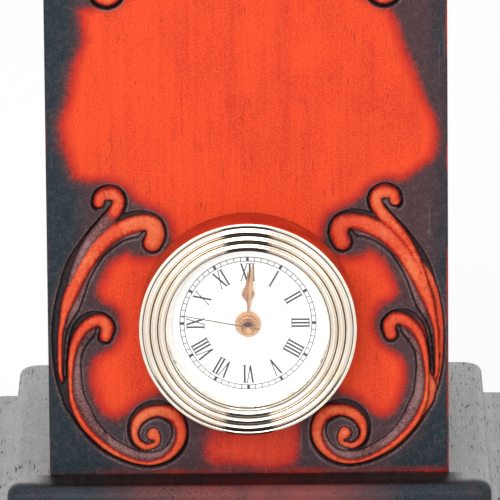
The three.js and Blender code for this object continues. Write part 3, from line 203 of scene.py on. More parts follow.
# The rest goes round the scrolls and down to the board's foot.
FIELD_LOWER = [
    (12.6, 90.7), (17.9, 90.9), (21.2, 90.2), (24.0, 88.3), (25.6, 86.2), (28.5, 83.8), (31.8, 82.3),
    (34.9, 80.6), (37.0, 77.8), (37.6, 74.6), (38.0, 71.4), (36.5, 69.0), (34.3, 68.0), (31.6, 67.6),
    (28.9, 67.0), (25.6, 67.4), (23.6, 68.6), (22.0, 67.8), (19.3, 65.7), (17.6, 62.6), (16.2, 59.2),
    (15.3, 56.5), (16.8, 54.1), (19.4, 52.7), (21.1, 50.6), (22.1, 47.2), (22.0, 44.8), (20.7, 42.0),
    (19.0, 39.6), (16.6, 38.1), (13.9, 36.1), (12.9, 33.0), (12.8, 29.6), (13.8, 25.8), (15.1, 22.2),
    (17.0, 19.4), (19.7, 18.2), (22.4, 19.2), (24.7, 21.2), (27.7, 23.4), (30.4, 24.8), (34.0, 26.0),
]
# Above mid height the same outline is met upside down; beside the upper bulbs it stands further in.
FIELD_UPPER_LEFT = [(9.0, 126.6), (11.5, 134), (10.4, 143)]
FIELD_UPPER_RIGHT = [(11.4, 126.6), (14.6, 136.5), (16.8, 143)]


def smooth(values, low, high):
    """0 at low, 1 at high, smooth in between."""
    share = np.clip((values - low) / (high - low), 0, 1)
    return share * share * (3 - 2 * share)


def through(points, count):
    """Evenly timed points on a smooth curve through the given rows."""
    rows = np.array(points, float)
    rows = np.vstack([2 * rows[0] - rows[1], rows, 2 * rows[-1] - rows[-2]])
    gaps = np.maximum(np.sqrt(np.linalg.norm(np.diff(rows[:, :2], axis=0), axis=1)), 1e-6)
    knots = np.concatenate([[0], np.cumsum(gaps)])
    times = np.linspace(knots[1], knots[-2] - 1e-9, count)
    spans = np.clip(np.searchsorted(knots, times, side="right") - 1, 1, len(rows) - 3)

    def blend(a, b, start, end):
        share = ((times - start) / (end - start))[:, None]
        return a * (1 - share) + b * share

    k = [knots[spans + i] for i in (-1, 0, 1, 2)]
    p = [rows[spans + i] for i in (-1, 0, 1, 2)]
    first = [blend(p[i], p[i + 1], k[i], k[i + 1]) for i in range(3)]
    second = [blend(first[i], first[i + 1], k[i], k[i + 2]) for i in range(2)]
    return blend(second[0], second[1], k[1], k[2])


def ripple(across, up, scale, seed):
    """Smooth, repeatable unevenness from a few crossed waves, about -1 to 1."""
    waves = 7
    rng = np.random.default_rng(seed)
    total = np.zeros_like(across)
    for _ in range(waves):
        angle, phase = rng.uniform(0, 2 * np.pi, 2).tolist()
        stretch = rng.uniform(0.6, 1.7)
        wave = (across * np.cos(angle) + up * np.sin(angle)) / (scale * stretch)
        total += np.sin(wave * 2 * np.pi + phase)
    return total / waves * 1.6


def across_scroll(px, pz, rows, count, sizes):
    """What one scroll does at each point: its depth, paint and flute, whose mask peaks mid-hollow for a
    painted sheen, where along its length that is (share), the distance outside its rim, and at the nearest
    rim the right bank and where along its length that is (run)."""
    floor, crest = sizes.depth / MM, sizes.crest / MM
    path = through(rows, count)
    tangent = np.gradient(path[:, :2], axis=0)
    spacing = np.linalg.norm(tangent, axis=1)
    tangent /= spacing[:, None]
    turn = np.linalg.norm(np.gradient(tangent, axis=0), axis=1)
    right, left, flute, right_valley, left_valley = path[:, 2:].clip(0).T
    first, last = np.arange(count) == 0, np.arange(count) == count - 1
    fluted = smooth(flute, 0.2, 1.2)
    flute_floor = floor * (1 - 0.4 * fluted)
    names = ("depth", "outside", "paint", "flute", "share", "bank", "run")
    kept = {name: np.empty(len(px)) for name in names}
    for start in range(0, len(px), POINTS_AT_ONCE):
        block = slice(start, start + POINTS_AT_ONCE)
        dx, dz = px[block, None] - path[None, :, 0], pz[block, None] - path[None, :, 1]
        along = dx * tangent[:, 0] + dz * tangent[:, 1]
        side = dx * tangent[:, 1] - dz * tangent[:, 0]
        past = (first & (along < 0)) | (last & (along > 0))
        side = np.where(past, np.where(side < 0, -1, 1) * np.hypot(along, side), side)
        abreast = np.abs(along) < 0.65 * (spacing + np.abs(side) * turn)
        away = np.where(abreast | past, 0.0, FAR)
        here = away < 1
        on_right = side >= 0
        reach = np.where(on_right, right + right_valley, left + flute + left_valley)
        outside = np.abs(side) - reach + away
        share = np.clip(np.where(on_right, side / right, -side / left), 0, 1)
        drop = np.where(on_right, floor, flute_floor)
        dome = crest + (drop - crest) * (1 - np.sqrt(np.maximum(1 - share**2.3, 0)))
        run = np.clip((-side - left) / np.maximum(flute, 0.05), 0, 1)
        in_flute = (~on_right) & (-side > left) & (flute > 0.15)
        hollow = flute_floor + 0.16 * floor * np.sin(np.pi * run) * fluted
        hollow += (floor - hollow) * smooth(run, 0.8, 1.0)
        on_ridge = np.abs(side) < np.where(on_right, right, left)
        depth = np.where(in_flute, hollow, np.where(on_ridge, dome, floor))
        # The paint fades from the crest toward a ridge's edges: airbrushed stain, and partly painted shade
        # of the rounded ridge.
        right_paint = 1 - 0.45 * share**2 - 0.55 * smooth(share, 0.75, 1.0)
        left_paint = 1 - smooth(-side / left, 0.05, 1.6)
        paint = np.where(on_right, right_paint, left_paint).clip(0)
        bank = (on_right & (side > right)) * (1 - smooth(outside, -0.5, -0.1))
        best = (depth + away).argmin(1)[:, None]
        nearest = outside.argmin(1)[:, None]

        def keep(name, values, place):
            kept[name][block] = np.take_along_axis(values, place, 1)[:, 0]

        keep("depth", depth, best)
        keep("outside", outside, nearest)
        keep("paint", paint * here, best)
        # The flute mask peaks mid-hollow, where its painted sheen is strongest.
        keep("flute", np.sin(np.pi * run) * in_flute * fluted * here, best)
        keep("bank", bank * here, nearest)
        kept["share"][block] = best[:, 0] / (count - 1)
        kept["run"][block] = nearest[:, 0] / (count - 1)
    return kept


def carving(across, up, sizes):
    """Depth of the carving (mm) and its stain masks, some of which hold painted shade, sheen and
    highlight, in mm from the board's nearest corner.
    """
    inside = np.flatnonzero((across < CARVED_ACROSS) & (up < CARVED_UP))
    scrolls = ((OUTER_SCROLL, 300), (TOP_SCROLL, 150), (LOWER_SCROLL, 520))
    outer, top, lower = (across_scroll(across[inside], up[inside], *scroll, sizes) for scroll in scrolls)
    wall = 0.5
    rim = np.minimum(outer["outside"], top["outside"])
    upper = np.minimum(outer["depth"], top["depth"])
    upper_wins = outer["depth"] <= top["depth"]
    depth = np.where(rim < 0, upper, 0) * smooth(-rim, -0.08, wall)
    over = smooth(-lower["outside"], -0.08, wall)
    depth = depth + (lower["depth"] - depth) * over * (lower["outside"] < 0.08)
    in_lower = lower["outside"] < 0

    paint = np.where(upper_wins, outer["paint"] * (1 - 0.8 * smooth(outer["share"], 0.88, 1)), 0)
    paint = np.where(rim < 0, paint, 0)
    bulb = 1 - smooth(top["share"], 0.36, 0.5)
    top_paint = np.where(upper_wins | (rim >= 0), 0, top["paint"])
    paint = np.where(in_lower, lower["paint"], np.maximum(paint, top_paint * bulb))
    stem = np.where(in_lower, 0, top_paint * (1 - bulb))
    flute = np.where(in_lower, lower["flute"], np.where(upper_wins, outer["flute"], 0) * (rim < 0))
    bank = outer["bank"] * smooth(outer["run"], 0.2, 0.3) * upper_wins * (rim < 0)
    lower_bank = smooth(lower["run"], 0.08, 0.16) * (1 - smooth(lower["run"], 0.5, 0.6))
    bank = np.where(in_lower, lower["bank"] * lower_bank, bank)

    def along_rim(offset, width):
        upper_rim = np.exp(-(((rim - offset) / width) ** 2)) * (lower["outside"] > -0.1)
        lower_rim = np.exp(-(((lower["outside"] - offset) / width) ** 2))
        return np.maximum(upper_rim, lower_rim * np.where(rim < -0.3, 0.6, 1))

    line = sizes.line_width / MM
    pocket = np.minimum(rim, lower["outside"])
    # Painted shade darkens the deepest floor of the carving.
    floor_shade = smooth(depth, 0.86 * sizes.depth / MM, sizes.depth / MM) * (pocket < -0.2)
    masks = {
        "depth": depth,
        "crest": paint,
        "stem": stem,
        "bank": bank,
        "flute": np.maximum(flute, 0),
        # Dark line at the foot of the rim's wall: dark stain in the cut, partly a painted shadow of the
        # step.
        "line": along_rim(-0.3, line * 0.75),
        "floor_shade": floor_shade * 0.45,
        # The light line just outside the rim: worn arris, partly a painted highlight.
        "wear_and_highlight": along_rim(0.14, line * 0.5) * (pocket > -0.25),
        "pocket": smooth(-pocket, -0.15, 0.15),
        "near": np.exp(-np.maximum(pocket, 0) / 1.1),
    }
    spread = {name: np.zeros_like(across) for name in masks}
    for name, values in masks.items():
        spread[name][inside] = values
    return spread.pop("depth"), spread


def field_outline():
    """The bright field's closed outline, in mm from the lower left corner."""
    width, height = WIDTH / MM, HEIGHT / MM
    bulb_height = 84
    upper = [(x, height - z) for x, z in reversed(FIELD_LOWER) if z < bulb_height]
    left = upper + FIELD_UPPER_LEFT[::-1] + FIELD_TOP_LEFT + FIELD_LOWER
    right = upper + FIELD_UPPER_RIGHT[::-1] + FIELD_TOP_RIGHT + FIELD_LOWER
    return left + [(width - x, z) for x, z in reversed(right)]


def field_distance(across, up):
    """How far inside the bright field a point lies, in mm, negative on the dark edge."""
    corners = np.array(field_outline())
    following = np.roll(corners, -1, axis=0)
    span = following - corners
    slope = span[:, 0] / np.where(span[:, 1] == 0, 1e-9, span[:, 1])
    signed = np.empty(len(across))
    for start in range(0, len(across), POINTS_AT_ONCE):
        block = slice(start, start + POINTS_AT_ONCE)
        x, z = across[block, None], up[block, None]
        dx, dz = x - corners[None, :, 0], z - corners[None, :, 1]
        share = np.clip((dx * span[:, 0] + dz * span[:, 1]) / (span**2).sum(1), 0, 1)
        distance = np.hypot(dx - share * span[:, 0], dz - share * span[:, 1]).min(1)
        straddles = (corners[:, 1] > z) != (following[:, 1] > z)
        crossing = corners[:, 0] + (z - corners[:, 1]) * slope
        inside = (straddles & (x < crossing)).sum(1) % 2 == 1
        signed[block] = np.where(inside, distance, -distance)
    return signed


def write_mesh(shape, mesh, turn_outward=True):
    """Writes an edited shape to a mesh and lets it go; its faces are turned outward first."""
    if turn_outward:
        bmesh.ops.recalc_face_normals(shape, faces=shape.faces)
    shape.to_mesh(mesh)
    shape.free()
    return mesh


def finish_mesh(name, mesh, material, sharp=35):
    """Makes the object: smooth faces, sharp edges from an angle in degrees, and its finish."""
    mesh.validate()
    mesh.polygons.foreach_set("use_smooth", np.ones(len(mesh.polygons), bool))
    mesh.set_sharp_from_angle(angle=np.radians(sharp))
    made = bpy.data.objects.new(name, mesh)
    bpy.context.scene.collection.objects.link(made)
    mesh.materials.append(material)
    return made


def mesh_object(name, vertices, faces, material, sharp=35, closed=True):
    """An object from plain lists; the faces of a closed one are turned outward."""
    mesh = bpy.data.meshes.new(name)
    mesh.from_pydata(vertices, [], faces)
    made = finish_mesh(name, mesh, material, sharp)
    if closed:
        shape = bmesh.new()
        shape.from_mesh(mesh)
        write_mesh(shape, mesh)
    return made


def turned(name, profile, material, segments, sharp=30, closed=True):
    """A profile of (radius, y) pairs turned about the capsule's axis. Radius 0 makes a tip."""
    shape = bmesh.new()
    angles = np.linspace(0, 2 * np.pi, segments, endpoint=False)
    rings = []
    for radius, y in profile:
        around = angles if radius > TIP_RADIUS else angles[:1]
        reach = radius if radius > TIP_RADIUS else 0
        rings.append([shape.verts.new((reach * np.cos(a), y, AXIS_Z + reach * np.sin(a))) for a in around])
    pairs = list(zip(rings, rings[1:]))
    if closed and len(rings[0]) > 1:
        pairs.append((rings[-1], rings[0]))
    for first, second in pairs:
        for i in range(segments):
            j = (i + 1) % segments
            near, far = len(first), len(second)
            corners = [first[i % near], first[j % near], second[j % far], second[i % far]]
            corners = list(dict.fromkeys(corners))
            if len(corners) > 2:
                shape.faces.new(corners)
    return finish_mesh(name, write_mesh(shape, bpy.data.meshes.new(name)), material, sharp)


class Wire:
    """A socket's value. Arithmetic on it adds Math nodes."""

    def __init__(self, finish, socket):
        self.finish = finish
        self.socket = socket

    def math(self, operation, *values, clamp=False):
        return self.finish.node("ShaderNodeMath", {"operation": operation, "use_clamp": clamp}, values)

    def __add__(self, other):
        return self.math("ADD", self, other)

    __radd__ = __add__

    def __sub__(self, other):
        return self.math("SUBTRACT", self, other)

    def __rsub__(self, other):
        return self.math("SUBTRACT", other, self)

    def __mul__(self, other):
        return self.math("MULTIPLY", self, other)

    __rmul__ = __mul__

    def __truediv__(self, other):
        return self.math("DIVIDE", self, other)

    def __rtruediv__(self, other):
        return self.math("DIVIDE", other, self)

    def __pow__(self, other):
        return self.math("POWER", self, other)

    def __abs__(self):
        return self.math("ABSOLUTE", self)

    def clamped(self):
        return self.math("ADD", self, 0.0, clamp=True)

    def larger(self, other):
        return self.math("MAXIMUM", self, other)

    def between(self, low, high):
        """0 below low, 1 above high, smooth in between."""
        settings = {"interpolation_type": "SMOOTHSTEP"}
        return self.finish.node("ShaderNodeMapRange", settings, (self, low, high, 0.0, 1.0))


class Nodes:
    """A node tree that is built up node by node."""

    def __init__(self, tree):
        self.tree = tree
        tree.nodes.clear()

    def node(self, kind, settings=None, values=(), output=0):
        """Adds a node: its settings first, then its sockets' values or links. Returns one output."""
        made = self.tree.nodes.new(kind)
        for name, value in (settings or {}).items():
            setattr(made, name, value)
        pairs = values.items() if isinstance(values, dict) else enumerate(values)
        for key, value in pairs:
            if isinstance(value, Wire):
                self.tree.links.new(value.socket, made.inputs[key])
            else:
                made.inputs[key].default_value = value
        return Wire(self, made.outputs[output]) if made.outputs else None


class Finish(Nodes):
    """A material that is built from nodes."""

    def __init__(self, name):
        self.material = bpy.data.materials.new(name)
        self.material.use_nodes = True
        super().__init__(self.material.node_tree)

    def attribute(self, name):
        return self.node("ShaderNodeAttribute", {"attribute_name": name}, output="Fac")

    def axes(self, kind="ShaderNodeTexCoord", output="Object"):
        """The x, y and z of the object's coordinates in metres, or of another node's vector."""
        parts = self.node("ShaderNodeSeparateXYZ", None, (self.node(kind, output=output),))
        return [Wire(self, socket) for socket in parts.socket.node.outputs]

    def tilt(self):
        """The x, y and z of the surface's normal."""
        return self.axes("ShaderNodeNewGeometry", "Normal")

    def place(self, stretch=(1, 1, 1)):
        """Object coordinates in metres, stretched to set the grain's direction."""
        spot = self.node("ShaderNodeTexCoord", output="Object")
        return self.node("ShaderNodeMapping", None, {"Vector": spot, "Scale": stretch})

    def noise(self, scale, detail=3, stretch=(1, 1, 1), roughness=0.55, distortion=0.0):
        values = {
            "Vector": self.place(stretch),
            "Scale": scale,
            "Detail": detail,
            "Roughness": roughness,
            "Distortion": distortion,
        }
        return self.node("ShaderNodeTexNoise", None, values)

    def swing(self, gain, *settings):
        """Noise that swings about zero."""
        return (self.noise(*settings) - 0.5) * gain

    def mix(self, share, first, second):
        settings = {"data_type": "RGBA", "clamp_factor": True}

        def shade(value):
            return value if isinstance(value, Wire) else (*tuple(value)[:3], 1)

        values = {0: share, 6: shade(first), 7: shade(second)}
        return self.node("ShaderNodeMix", settings, values, output=2)

    def coats(self, shade, *layers):
        """Lays (share, shade) coats over a shade, one after another."""
        for share, over in layers:
            shade = self.mix(share, shade, over)
        return shade

    def bump(self, height, strength, distance=0.0003):
        values = {"Height": height, "Strength": strength, "Distance": distance}
        return self.node("ShaderNodeBump", None, values)

    def surface(self, **sockets):
        """Principled shader; socket names are written with underscores."""
        values = {name.replace("_", " "): value for name, value in sockets.items()}
        return self.output(self.node("ShaderNodeBsdfPrincipled", None, values))

    def output(self, shader):
        self.node("ShaderNodeOutputMaterial", None, {"Surface": shader})
        return self.material


FINISHES = {}


def finish(name):
    """Each finish is made once and shared."""
    if name not in FINISHES:
        maker, *values = FINISH_MAKERS[name]
        FINISHES[name] = maker(Finish(name), bpy.context.scene.clock_colours, *values)
    return FINISHES[name]


# Tones of the stains, metals, wear and grain, and of painted shade, shadow and reflections, that lie under
# or over the panel's colours.
TONE = SimpleNamespace(
    bare_wood=linear(164, 122, 84),
    bare_grain=linear(122, 86, 58),
    blush=linear(122, 60, 58),
    bright_gold=linear(255, 250, 240),
    chalk=linear(246, 246, 245),
    coil_dark=linear(120, 52, 26),
    coil_bright=linear(206, 120, 72),
    cone_dial_reflection=linear(255, 252, 246),
    crest_orange=linear(208, 74, 40),
    deep_teal=linear(17, 26, 32),
    felt_dark=linear(22, 44, 33),
    felt_light=linear(52, 84, 64),
    floor_light=linear(250, 250, 249),
    floor_dull=linear(245, 245, 245),
    foot_glow=linear(142, 30, 24),
    groove_shade=linear(42, 32, 26),
    ink_grey=linear(38, 46, 58),
    low_brown=linear(62, 36, 38),
    rib_reflection_hatch=linear(150, 104, 74),
    rib_shadow=linear(30, 22, 19),
    ring_orange=linear(232, 86, 46),
    ring_red=linear(206, 42, 20),
    ring_side_shade=linear(150, 44, 32),
    rubbed_brown=linear(102, 58, 57),
    rubbed_corner=linear(104, 62, 58),
    scratch=linear(170, 160, 160),
    scribed_gold=linear(184, 134, 96),
    seam=linear(14, 6, 6),
    turned_gold=linear(196, 150, 112),
    pale_reflection=linear(178, 170, 170),
)


def along_axis(axis, across, along):
    """Noise stretch for grain that runs along an axis: 0 x, 1 y, 2 z."""
    stretch = [across] * 3
    stretch[axis] = along
    return stretch


def pores(paint, axis, density=1.0):
    """Short dark pores of the wood, drawn out along an axis."""
    fleck = paint.noise(1.0, 2, along_axis(axis, 1500.0, 150.0), 0.5)
    patch = paint.noise(60.0, 2)
    return fleck.between(0.655 - 0.02 * density, 0.72) * patch.between(0.35, 0.6)


def carved_stain(paint, colours):
    """Airbrushed stain on the carved board, from the masks that the carving leaves on its mesh."""
    field, crest, stem, flute, line, wear_and_highlight = map(paint.attribute, STAIN_MASKS[:6])
    pocket, near, arris, outer, glow, foot = map(paint.attribute, STAIN_MASKS[6:])
    cloud = paint.swing(2.0, 95.0, 4, (1, 1, 0.55))
    broad = paint.swing(2.0, 24.0, 3)
    spray = paint.swing(2.6, 1900.0, 2)
    grain = paint.swing(2.0, 1.0, 3, along_axis(2, 560.0, 24.0), 0.6)
    mottle = paint.swing(2.2, 640.0, 3)
    specks = paint.swing(2.2, 2600.0, 3)
    pore = pores(paint, 2)
    x, y, height = paint.axes()
    depth = 0.0 - y
    right_side = x.between(0.0, 30 * MM) * height.between(45 * MM, 80 * MM)
    left_side = 1 - x.between(-30 * MM, 0.0)

    teal_share = outer + broad * 0.5 + cloud * 0.3 + spray * 0.3 - right_side * 0.55 + left_side * 0.2
    dark = paint.mix(teal_share.between(-0.1, 0.75), colours.plum, colours.teal)
    dulled = (0.24 + broad * 0.5 + cloud * 0.4 + mottle * 0.45 + spray * 0.8 + grain * 0.4).clamped()
    lit = paint.mix(dulled, colours.orange, colours.red)
    reach = (field + broad * 1.0 + cloud * 1.3 + spray * 1.7 + mottle * 0.5 + grain * 0.3 + 4.5) / 9.0
    ember = (glow * (1.0 + cloud * 1.2 + broad * 0.8 + spray * 0.9)).clamped() * (1 - near * 0.6)
    ground = paint.coats(
        dark,
        (reach.between(0.02, 0.4), colours.plum),
        (reach.between(0.25, 0.5), colours.blood),
        (reach.between(0.36, 0.6), colours.red),
        (reach.between(0.46, 0.86), lit),
        (ember.between(0.05, 0.5), colours.red),
        (ember.between(0.35, 1.0) * 0.8, lit),
        ((foot * (0.75 + cloud * 1.5 + spray)).clamped() * 0.8, TONE.foot_glow),
    )

    tone = crest + stem * 0.9 + cloud * 0.35 + spray * 0.25 + mottle * 0.2 + grain * 0.2
    # Lighter stain on the crests and ridges, partly a painted highlight.
    crest_stain_and_highlight = (crest + stem) * (0.8 + cloud * 1.5 + mottle * 0.7 + spray * 0.45)
    # Painted sheen down the middle of the flutes.
    sheen = (flute * (0.6 + cloud * 1.8 + spray * 1.4 + grain * 0.6)).clamped()
    cut = paint.coats(
        paint.mix(outer.between(0.55, 0.95), TONE.low_brown, colours.valley),
        ((tone + flute * 0.35).between(0.04, 0.26), TONE.rubbed_brown),
        (tone.between(0.12, 0.36), colours.blood),
        (tone.between(0.3, 0.66), colours.red),
        (tone.between(0.55, 0.9), TONE.crest_orange),
        (crest_stain_and_highlight.between(0.5, 1.35) * 0.42, colours.crest),
        (sheen * 0.72, colours.flute),
    )

    # Worn arris along the rim, partly a painted highlight.
    rubbed = (wear_and_highlight * (0.7 + spray * 1.6 + cloud * 1.4)).clamped()
    chipped = (arris * (0.6 + cloud * 2.6 + grain * 1.2)).between(0.35, 0.8)
    chipped = chipped * depth.between(-FACE_Y - 1.7 * MM, -FACE_Y - 0.4 * MM) * (1 - left_side * 0.85)
    bare = 1 - field.between(-2.0, 1.0)
    scratches = paint.noise(1.0, 1, along_axis(2, 1500.0, 60.0), 0.4).between(0.69, 0.75)
    back = -BOARD[1].y
    wood = paint.mix((0.5 + grain + cloud * 0.6).clamped(), TONE.bare_wood, TONE.bare_grain)
    shade = paint.coats(
        paint.mix(pocket, ground, cut),
        ((near * (0.5 + cloud + spray * 0.8)).clamped() * (1 - pocket) * 0.7, colours.plum),
        # Dark line at the rim's wall: dark stain, partly a painted shadow.
        ((line * 1.3).clamped() * 0.96, colours.line),
        (rubbed * 0.5, colours.wear_and_highlight),
        (chipped * 0.75, colours.red),
        (scratches * bare * (1 - pocket) * 0.16, TONE.scratch),
        ((specks + mottle * 0.4).clamped() * bare * (1 - pocket * 0.5) * 0.45, colours.wear_and_highlight),
        ((0.0 - specks - mottle * 0.5).clamped() * (1 - pocket * 0.5) * 0.6, colours.line),
        (pore * 0.5, colours.line),
        (1 - depth.between(back + 0.1 * MM, back + 0.5 * MM), wood),
    )
    return paint.surface(
        Base_Color=shade,
        Roughness=0.44 + spray * 0.15,
        Specular_IOR_Level=0.12,
        Normal=paint.bump(grain * 0.5 + spray * 0.25 - pore * 0.6, 0.4),
    )


def ring_stain(paint, colours):
    """The mounting ring: red-orange, darker than the field and without long grain, with painted shade on
    its upper part, its sides and its foot against the board.
    """
    cloud = paint.noise(110.0, 3)
    spray = paint.noise(1500.0, 2)
    _, y, z = paint.axes()
    depth = 0.0 - y
    # Painted shade: the upper part of the ring, under the bezel's overhang, turns redder and darker.
    upper = z.between(AXIS_Z + 15 * MM, AXIS_Z + 32 * MM)
    tone = (0.05 + upper * 0.6 + (cloud - 0.5) * 1.4 + (spray - 0.5) * 0.9).clamped()
    front = depth.between(-RING[0].y - 1 * MM, -RING[0].y - 0.2 * MM)
    shade = paint.coats(
        paint.mix(tone, TONE.ring_orange, TONE.ring_red),
        # Painted shade: a dark line at the ring's foot against the board, and sides darker than the front.
        ((1 - depth.between(-FACE_Y + 0.2 * MM, -FACE_Y + 1.2 * MM)) * 0.85, colours.line),
        ((1 - front) * (0.55 + (cloud - 0.5)).clamped(), TONE.ring_side_shade),
        (front * 0.08, colours.blood),
    )
    return paint.surface(
        Base_Color=shade,
        Roughness=0.45 + (spray - 0.5) * 0.1,
        Specular_IOR_Level=0.12,
        Normal=paint.bump(spray, 0.2),
    )


def dark_stain(paint, colours, axis, top=0.0, glow=0.0, half=0.0):
    """Near-black stain with open pores along an axis. top is the height from which the board's level and
    side faces get a clear coat and a painted pale reflection, half its depth to the front; glow adds the
    red blush in the middle of the front and the painted shadow along the foot of the front board."""
    cloud = paint.swing(1.6, 70.0, 4)
    spray = paint.swing(2.0, 2300.0, 2)
    grain = paint.swing(1.6, 1.0, 3, along_axis(axis, 520.0, 24.0), 0.6)
    pore = pores(paint, axis, 4.4)
    x, y, z = paint.axes()
    depth = 0.0 - y
    side = BOARD[1].x
    streak = paint.swing(2.4, 0.22, 4, along_axis(axis, 520.0, 9.0), 0.6, 0.3)
    specks = paint.swing(2.2, 2600.0, 3)
    shade = paint.coats(
        paint.mix((cloud + 0.25 + spray * 0.6).clamped(), colours.teal, colours.valley),
        ((streak + cloud * 0.5 + 0.05).clamped() * 0.75, colours.plum),
        ((0.0 - streak - 0.05).clamped() * 0.6, TONE.deep_teal),
        (specks.clamped() * 0.3, colours.wear_and_highlight),
    )
    if top:
        # Painted shadow and dark reflection along the foot of the front board.
        seam = depth.between(side - 1.5 * MM, side + 0.5 * MM) * z.between(top - 0.6 * MM, top)
        seam = seam * (1 - abs(x).between(side - 1 * MM, side + 6 * MM)) * 0.95
    else:
        corner = [abs(value).between(side - 1.6 * MM, side - 0.2 * MM) for value in (x, y)]
        rubbed = corner[0] * corner[1] * (0.5 + cloud * 2.0 + grain * 1.4).clamped()
        shade = paint.mix(rubbed, shade, TONE.rubbed_corner)
    if glow:
        blush = (1 - abs(x).between(12 * MM, 50 * MM)) * depth.between(55 * MM, 70 * MM)
        blush = blush * (0.9 + cloud * 1.6 + spray * 0.8).clamped() * glow
        shade = paint.coats(shade, (blush, TONE.blush), (seam, TONE.seam))
    shade = paint.coats(
        shade,
        (pore * 0.8, colours.line),
        ((grain * 0.5 + spray * 0.4).clamped(), colours.plum),
    )
    sockets = {"Coat_Weight": 0.3, "Coat_Roughness": 0.3}
    if top:
        across, _, up = paint.tilt()
        # Level and side faces take a clear coat and a painted pale reflection of the bright surroundings
        # in their base colour.
        level = up.between(0.15, 0.6).larger(abs(across).between(0.35, 0.75) * 0.9)
        inward = 1 - depth.between(half - 8 * MM, half - 3.5 * MM)
        coat_and_reflection = level * inward * (1 - pore) * (1 - seam)
        reflection_strength = (0.24 + cloud * 0.25 + spray * 1.1 + grain * 0.5).clamped()
        shade = paint.mix(coat_and_reflection * reflection_strength, shade, TONE.pale_reflection)
        sockets = {"Coat_Weight": coat_and_reflection, "Coat_Roughness": 0.4, "Coat_IOR": 2.05}
    return paint.surface(
        Base_Color=shade,
        Roughness=0.45 + grain * 0.15 + pore * 0.3,
        Specular_IOR_Level=0.15,
        Normal=paint.bump(grain * 0.35 + spray * 0.2 - pore * 1.1, 0.5),
        **sockets,
    )


def gold_plate(paint, colours):
    """Pale gold with fine turning lines, painted shade in its grooves, a painted dark reflection on the
    ribs' downward flanks and a painted pale reflection of the dial on its cone.
    """
    sizes = bpy.context.scene.clock_capsule
    haze = paint.noise(260.0, 3)
    x, _, z = paint.axes()
    rise = z - AXIS_Z
    radius = (x * x + rise * rise) ** 0.5

    def rings(radii, width):
        total = 0.0
        for value in radii:
            total = (1 - abs(radius - value).between(width * 0.3, width)).larger(total)
        return total

    start = BEZEL[1].x - sizes.rim_width
    grooves = [start - rib * sizes.rib_width for rib in range(4)]
    scribes = [groove - share * sizes.rib_width for groove in grooves[:3] for share in (0.32, 0.7)]
    # Painted shade darkens the grooves between the ribs.
    near_groove = rings(grooves, 0.26 * MM)
    scribed = rings(scribes, 0.12 * MM)
    turning = {"W": radius, "Scale": 3400.0, "Detail": 2.0}
    turning = paint.node("ShaderNodeTexNoise", {"noise_dimensions": "1D"}, turning)
    # Painted pale reflection of the white dial on the cone, which is made mostly non-metallic.
    cone = 1 - radius.between(23.8 * MM, 24.3 * MM)
    rib = radius.between(24.3 * MM, 24.6 * MM)
    # Painted dark reflection: rib flanks that face down, near the top and bottom, take dark and hatched
    # tones.
    down = 0.0 - paint.tilt()[2]
    beside = abs(x / radius)
    upright = 1 - beside.between(0.2, 0.3)
    hatched = (1 - beside.between(0.25, 0.6)) * turning.between(0.42, 0.56)
    shade = paint.coats(
        paint.mix(haze.between(0.3, 0.7), colours.gold, TONE.bright_gold),
        (turning.between(0.52, 0.66) * 0.4, TONE.turned_gold),
        (scribed * (0.15 + haze * 0.7), TONE.scribed_gold),
        (cone, TONE.cone_dial_reflection),
        (down.between(-0.1, 0.06) * rib * hatched * 0.6, TONE.rib_reflection_hatch),
        (down.between(-0.08, 0.04) * rib * upright * (0.75 + turning * 0.4), TONE.rib_shadow),
        (near_groove * 0.88, TONE.groove_shade),
    )
    return paint.surface(
        Base_Color=shade,
        Metallic=1 - cone * 0.85,
        Roughness=0.1 + haze * 0.05 + near_groove * 0.3,
        Normal=paint.bump(turning, 0.12, 0.0001),
    )


def plated(paint, colours, bright, dull, dark_reflection, share, rough=0.2):
    """Plated brass of the hands; faces that look down carry a painted dark reflection."""
    haze = paint.noise(700.0, 3)
    shade = paint.mix(haze.between(0.3, 0.7), linear(*bright), linear(*dull))
    down = 0.0 - paint.tilt()[2]
    shade = paint.mix(down.between(0.1, 0.24) * share, shade, linear(*dark_reflection))
    return paint.surface(Base_Color=shade, Metallic=0.8, Roughness=rough + (haze - 0.5) * 0.1)


def dial_enamel(paint, colours):
    """Matt white of the dial."""
    grain = paint.noise(2400.0, 2)
    shade = paint.mix(grain * 0.2, colours.dial, TONE.chalk)
    return paint.surface(Base_Color=shade, Roughness=0.42 + grain * 0.1, Normal=paint.bump(grain, 0.05))


def dial_ink(paint, colours):
    """Printing ink, a little uneven."""
    grain = paint.noise(3000.0, 2)
    shade = paint.mix(grain.between(0.4, 0.8), colours.ink, TONE.ink_grey)
    return paint.surface(Base_Color=shade, Roughness=0.5 + grain * 0.1)


def clear_glass(paint, colours):
    """Thin clear glass: see-through, with the reflection that its slant gives."""
    white = (1, 1, 1, 1)
    smear = paint.noise(90.0, 2)
    facing = paint.node("ShaderNodeLayerWeight", None, {"Blend": 0.5}, output="Facing")
    slant = 0.04 + 0.96 * facing**5
    clear = paint.node("ShaderNodeBsdfTransparent", None, (white,))
    mirror = {"Base Color": white, "Metallic": 1.0, "Roughness": 0.02 + smear * 0.03}
    shine = paint.node("ShaderNodeBsdfPrincipled", None, mirror)
    return paint.output(paint.node("ShaderNodeMixShader", None, (slant, clear, shine)))


def plastic(paint, colours, shade, rough, fleck=0.5):
    """Moulded plastic, rubber or lacquer with a fine fleck."""
    grain = paint.noise(1800.0, 3)
    lighter = tuple(min(1, channel * 1.5 + 0.01) for channel in linear(*shade))
    mixed = paint.mix(grain.between(0.35, 0.75) * fleck, linear(*shade), lighter)
    rough = rough + (grain - 0.5) * 0.12
    return paint.surface(Base_Color=mixed, Roughness=rough, Normal=paint.bump(grain, 0.15))


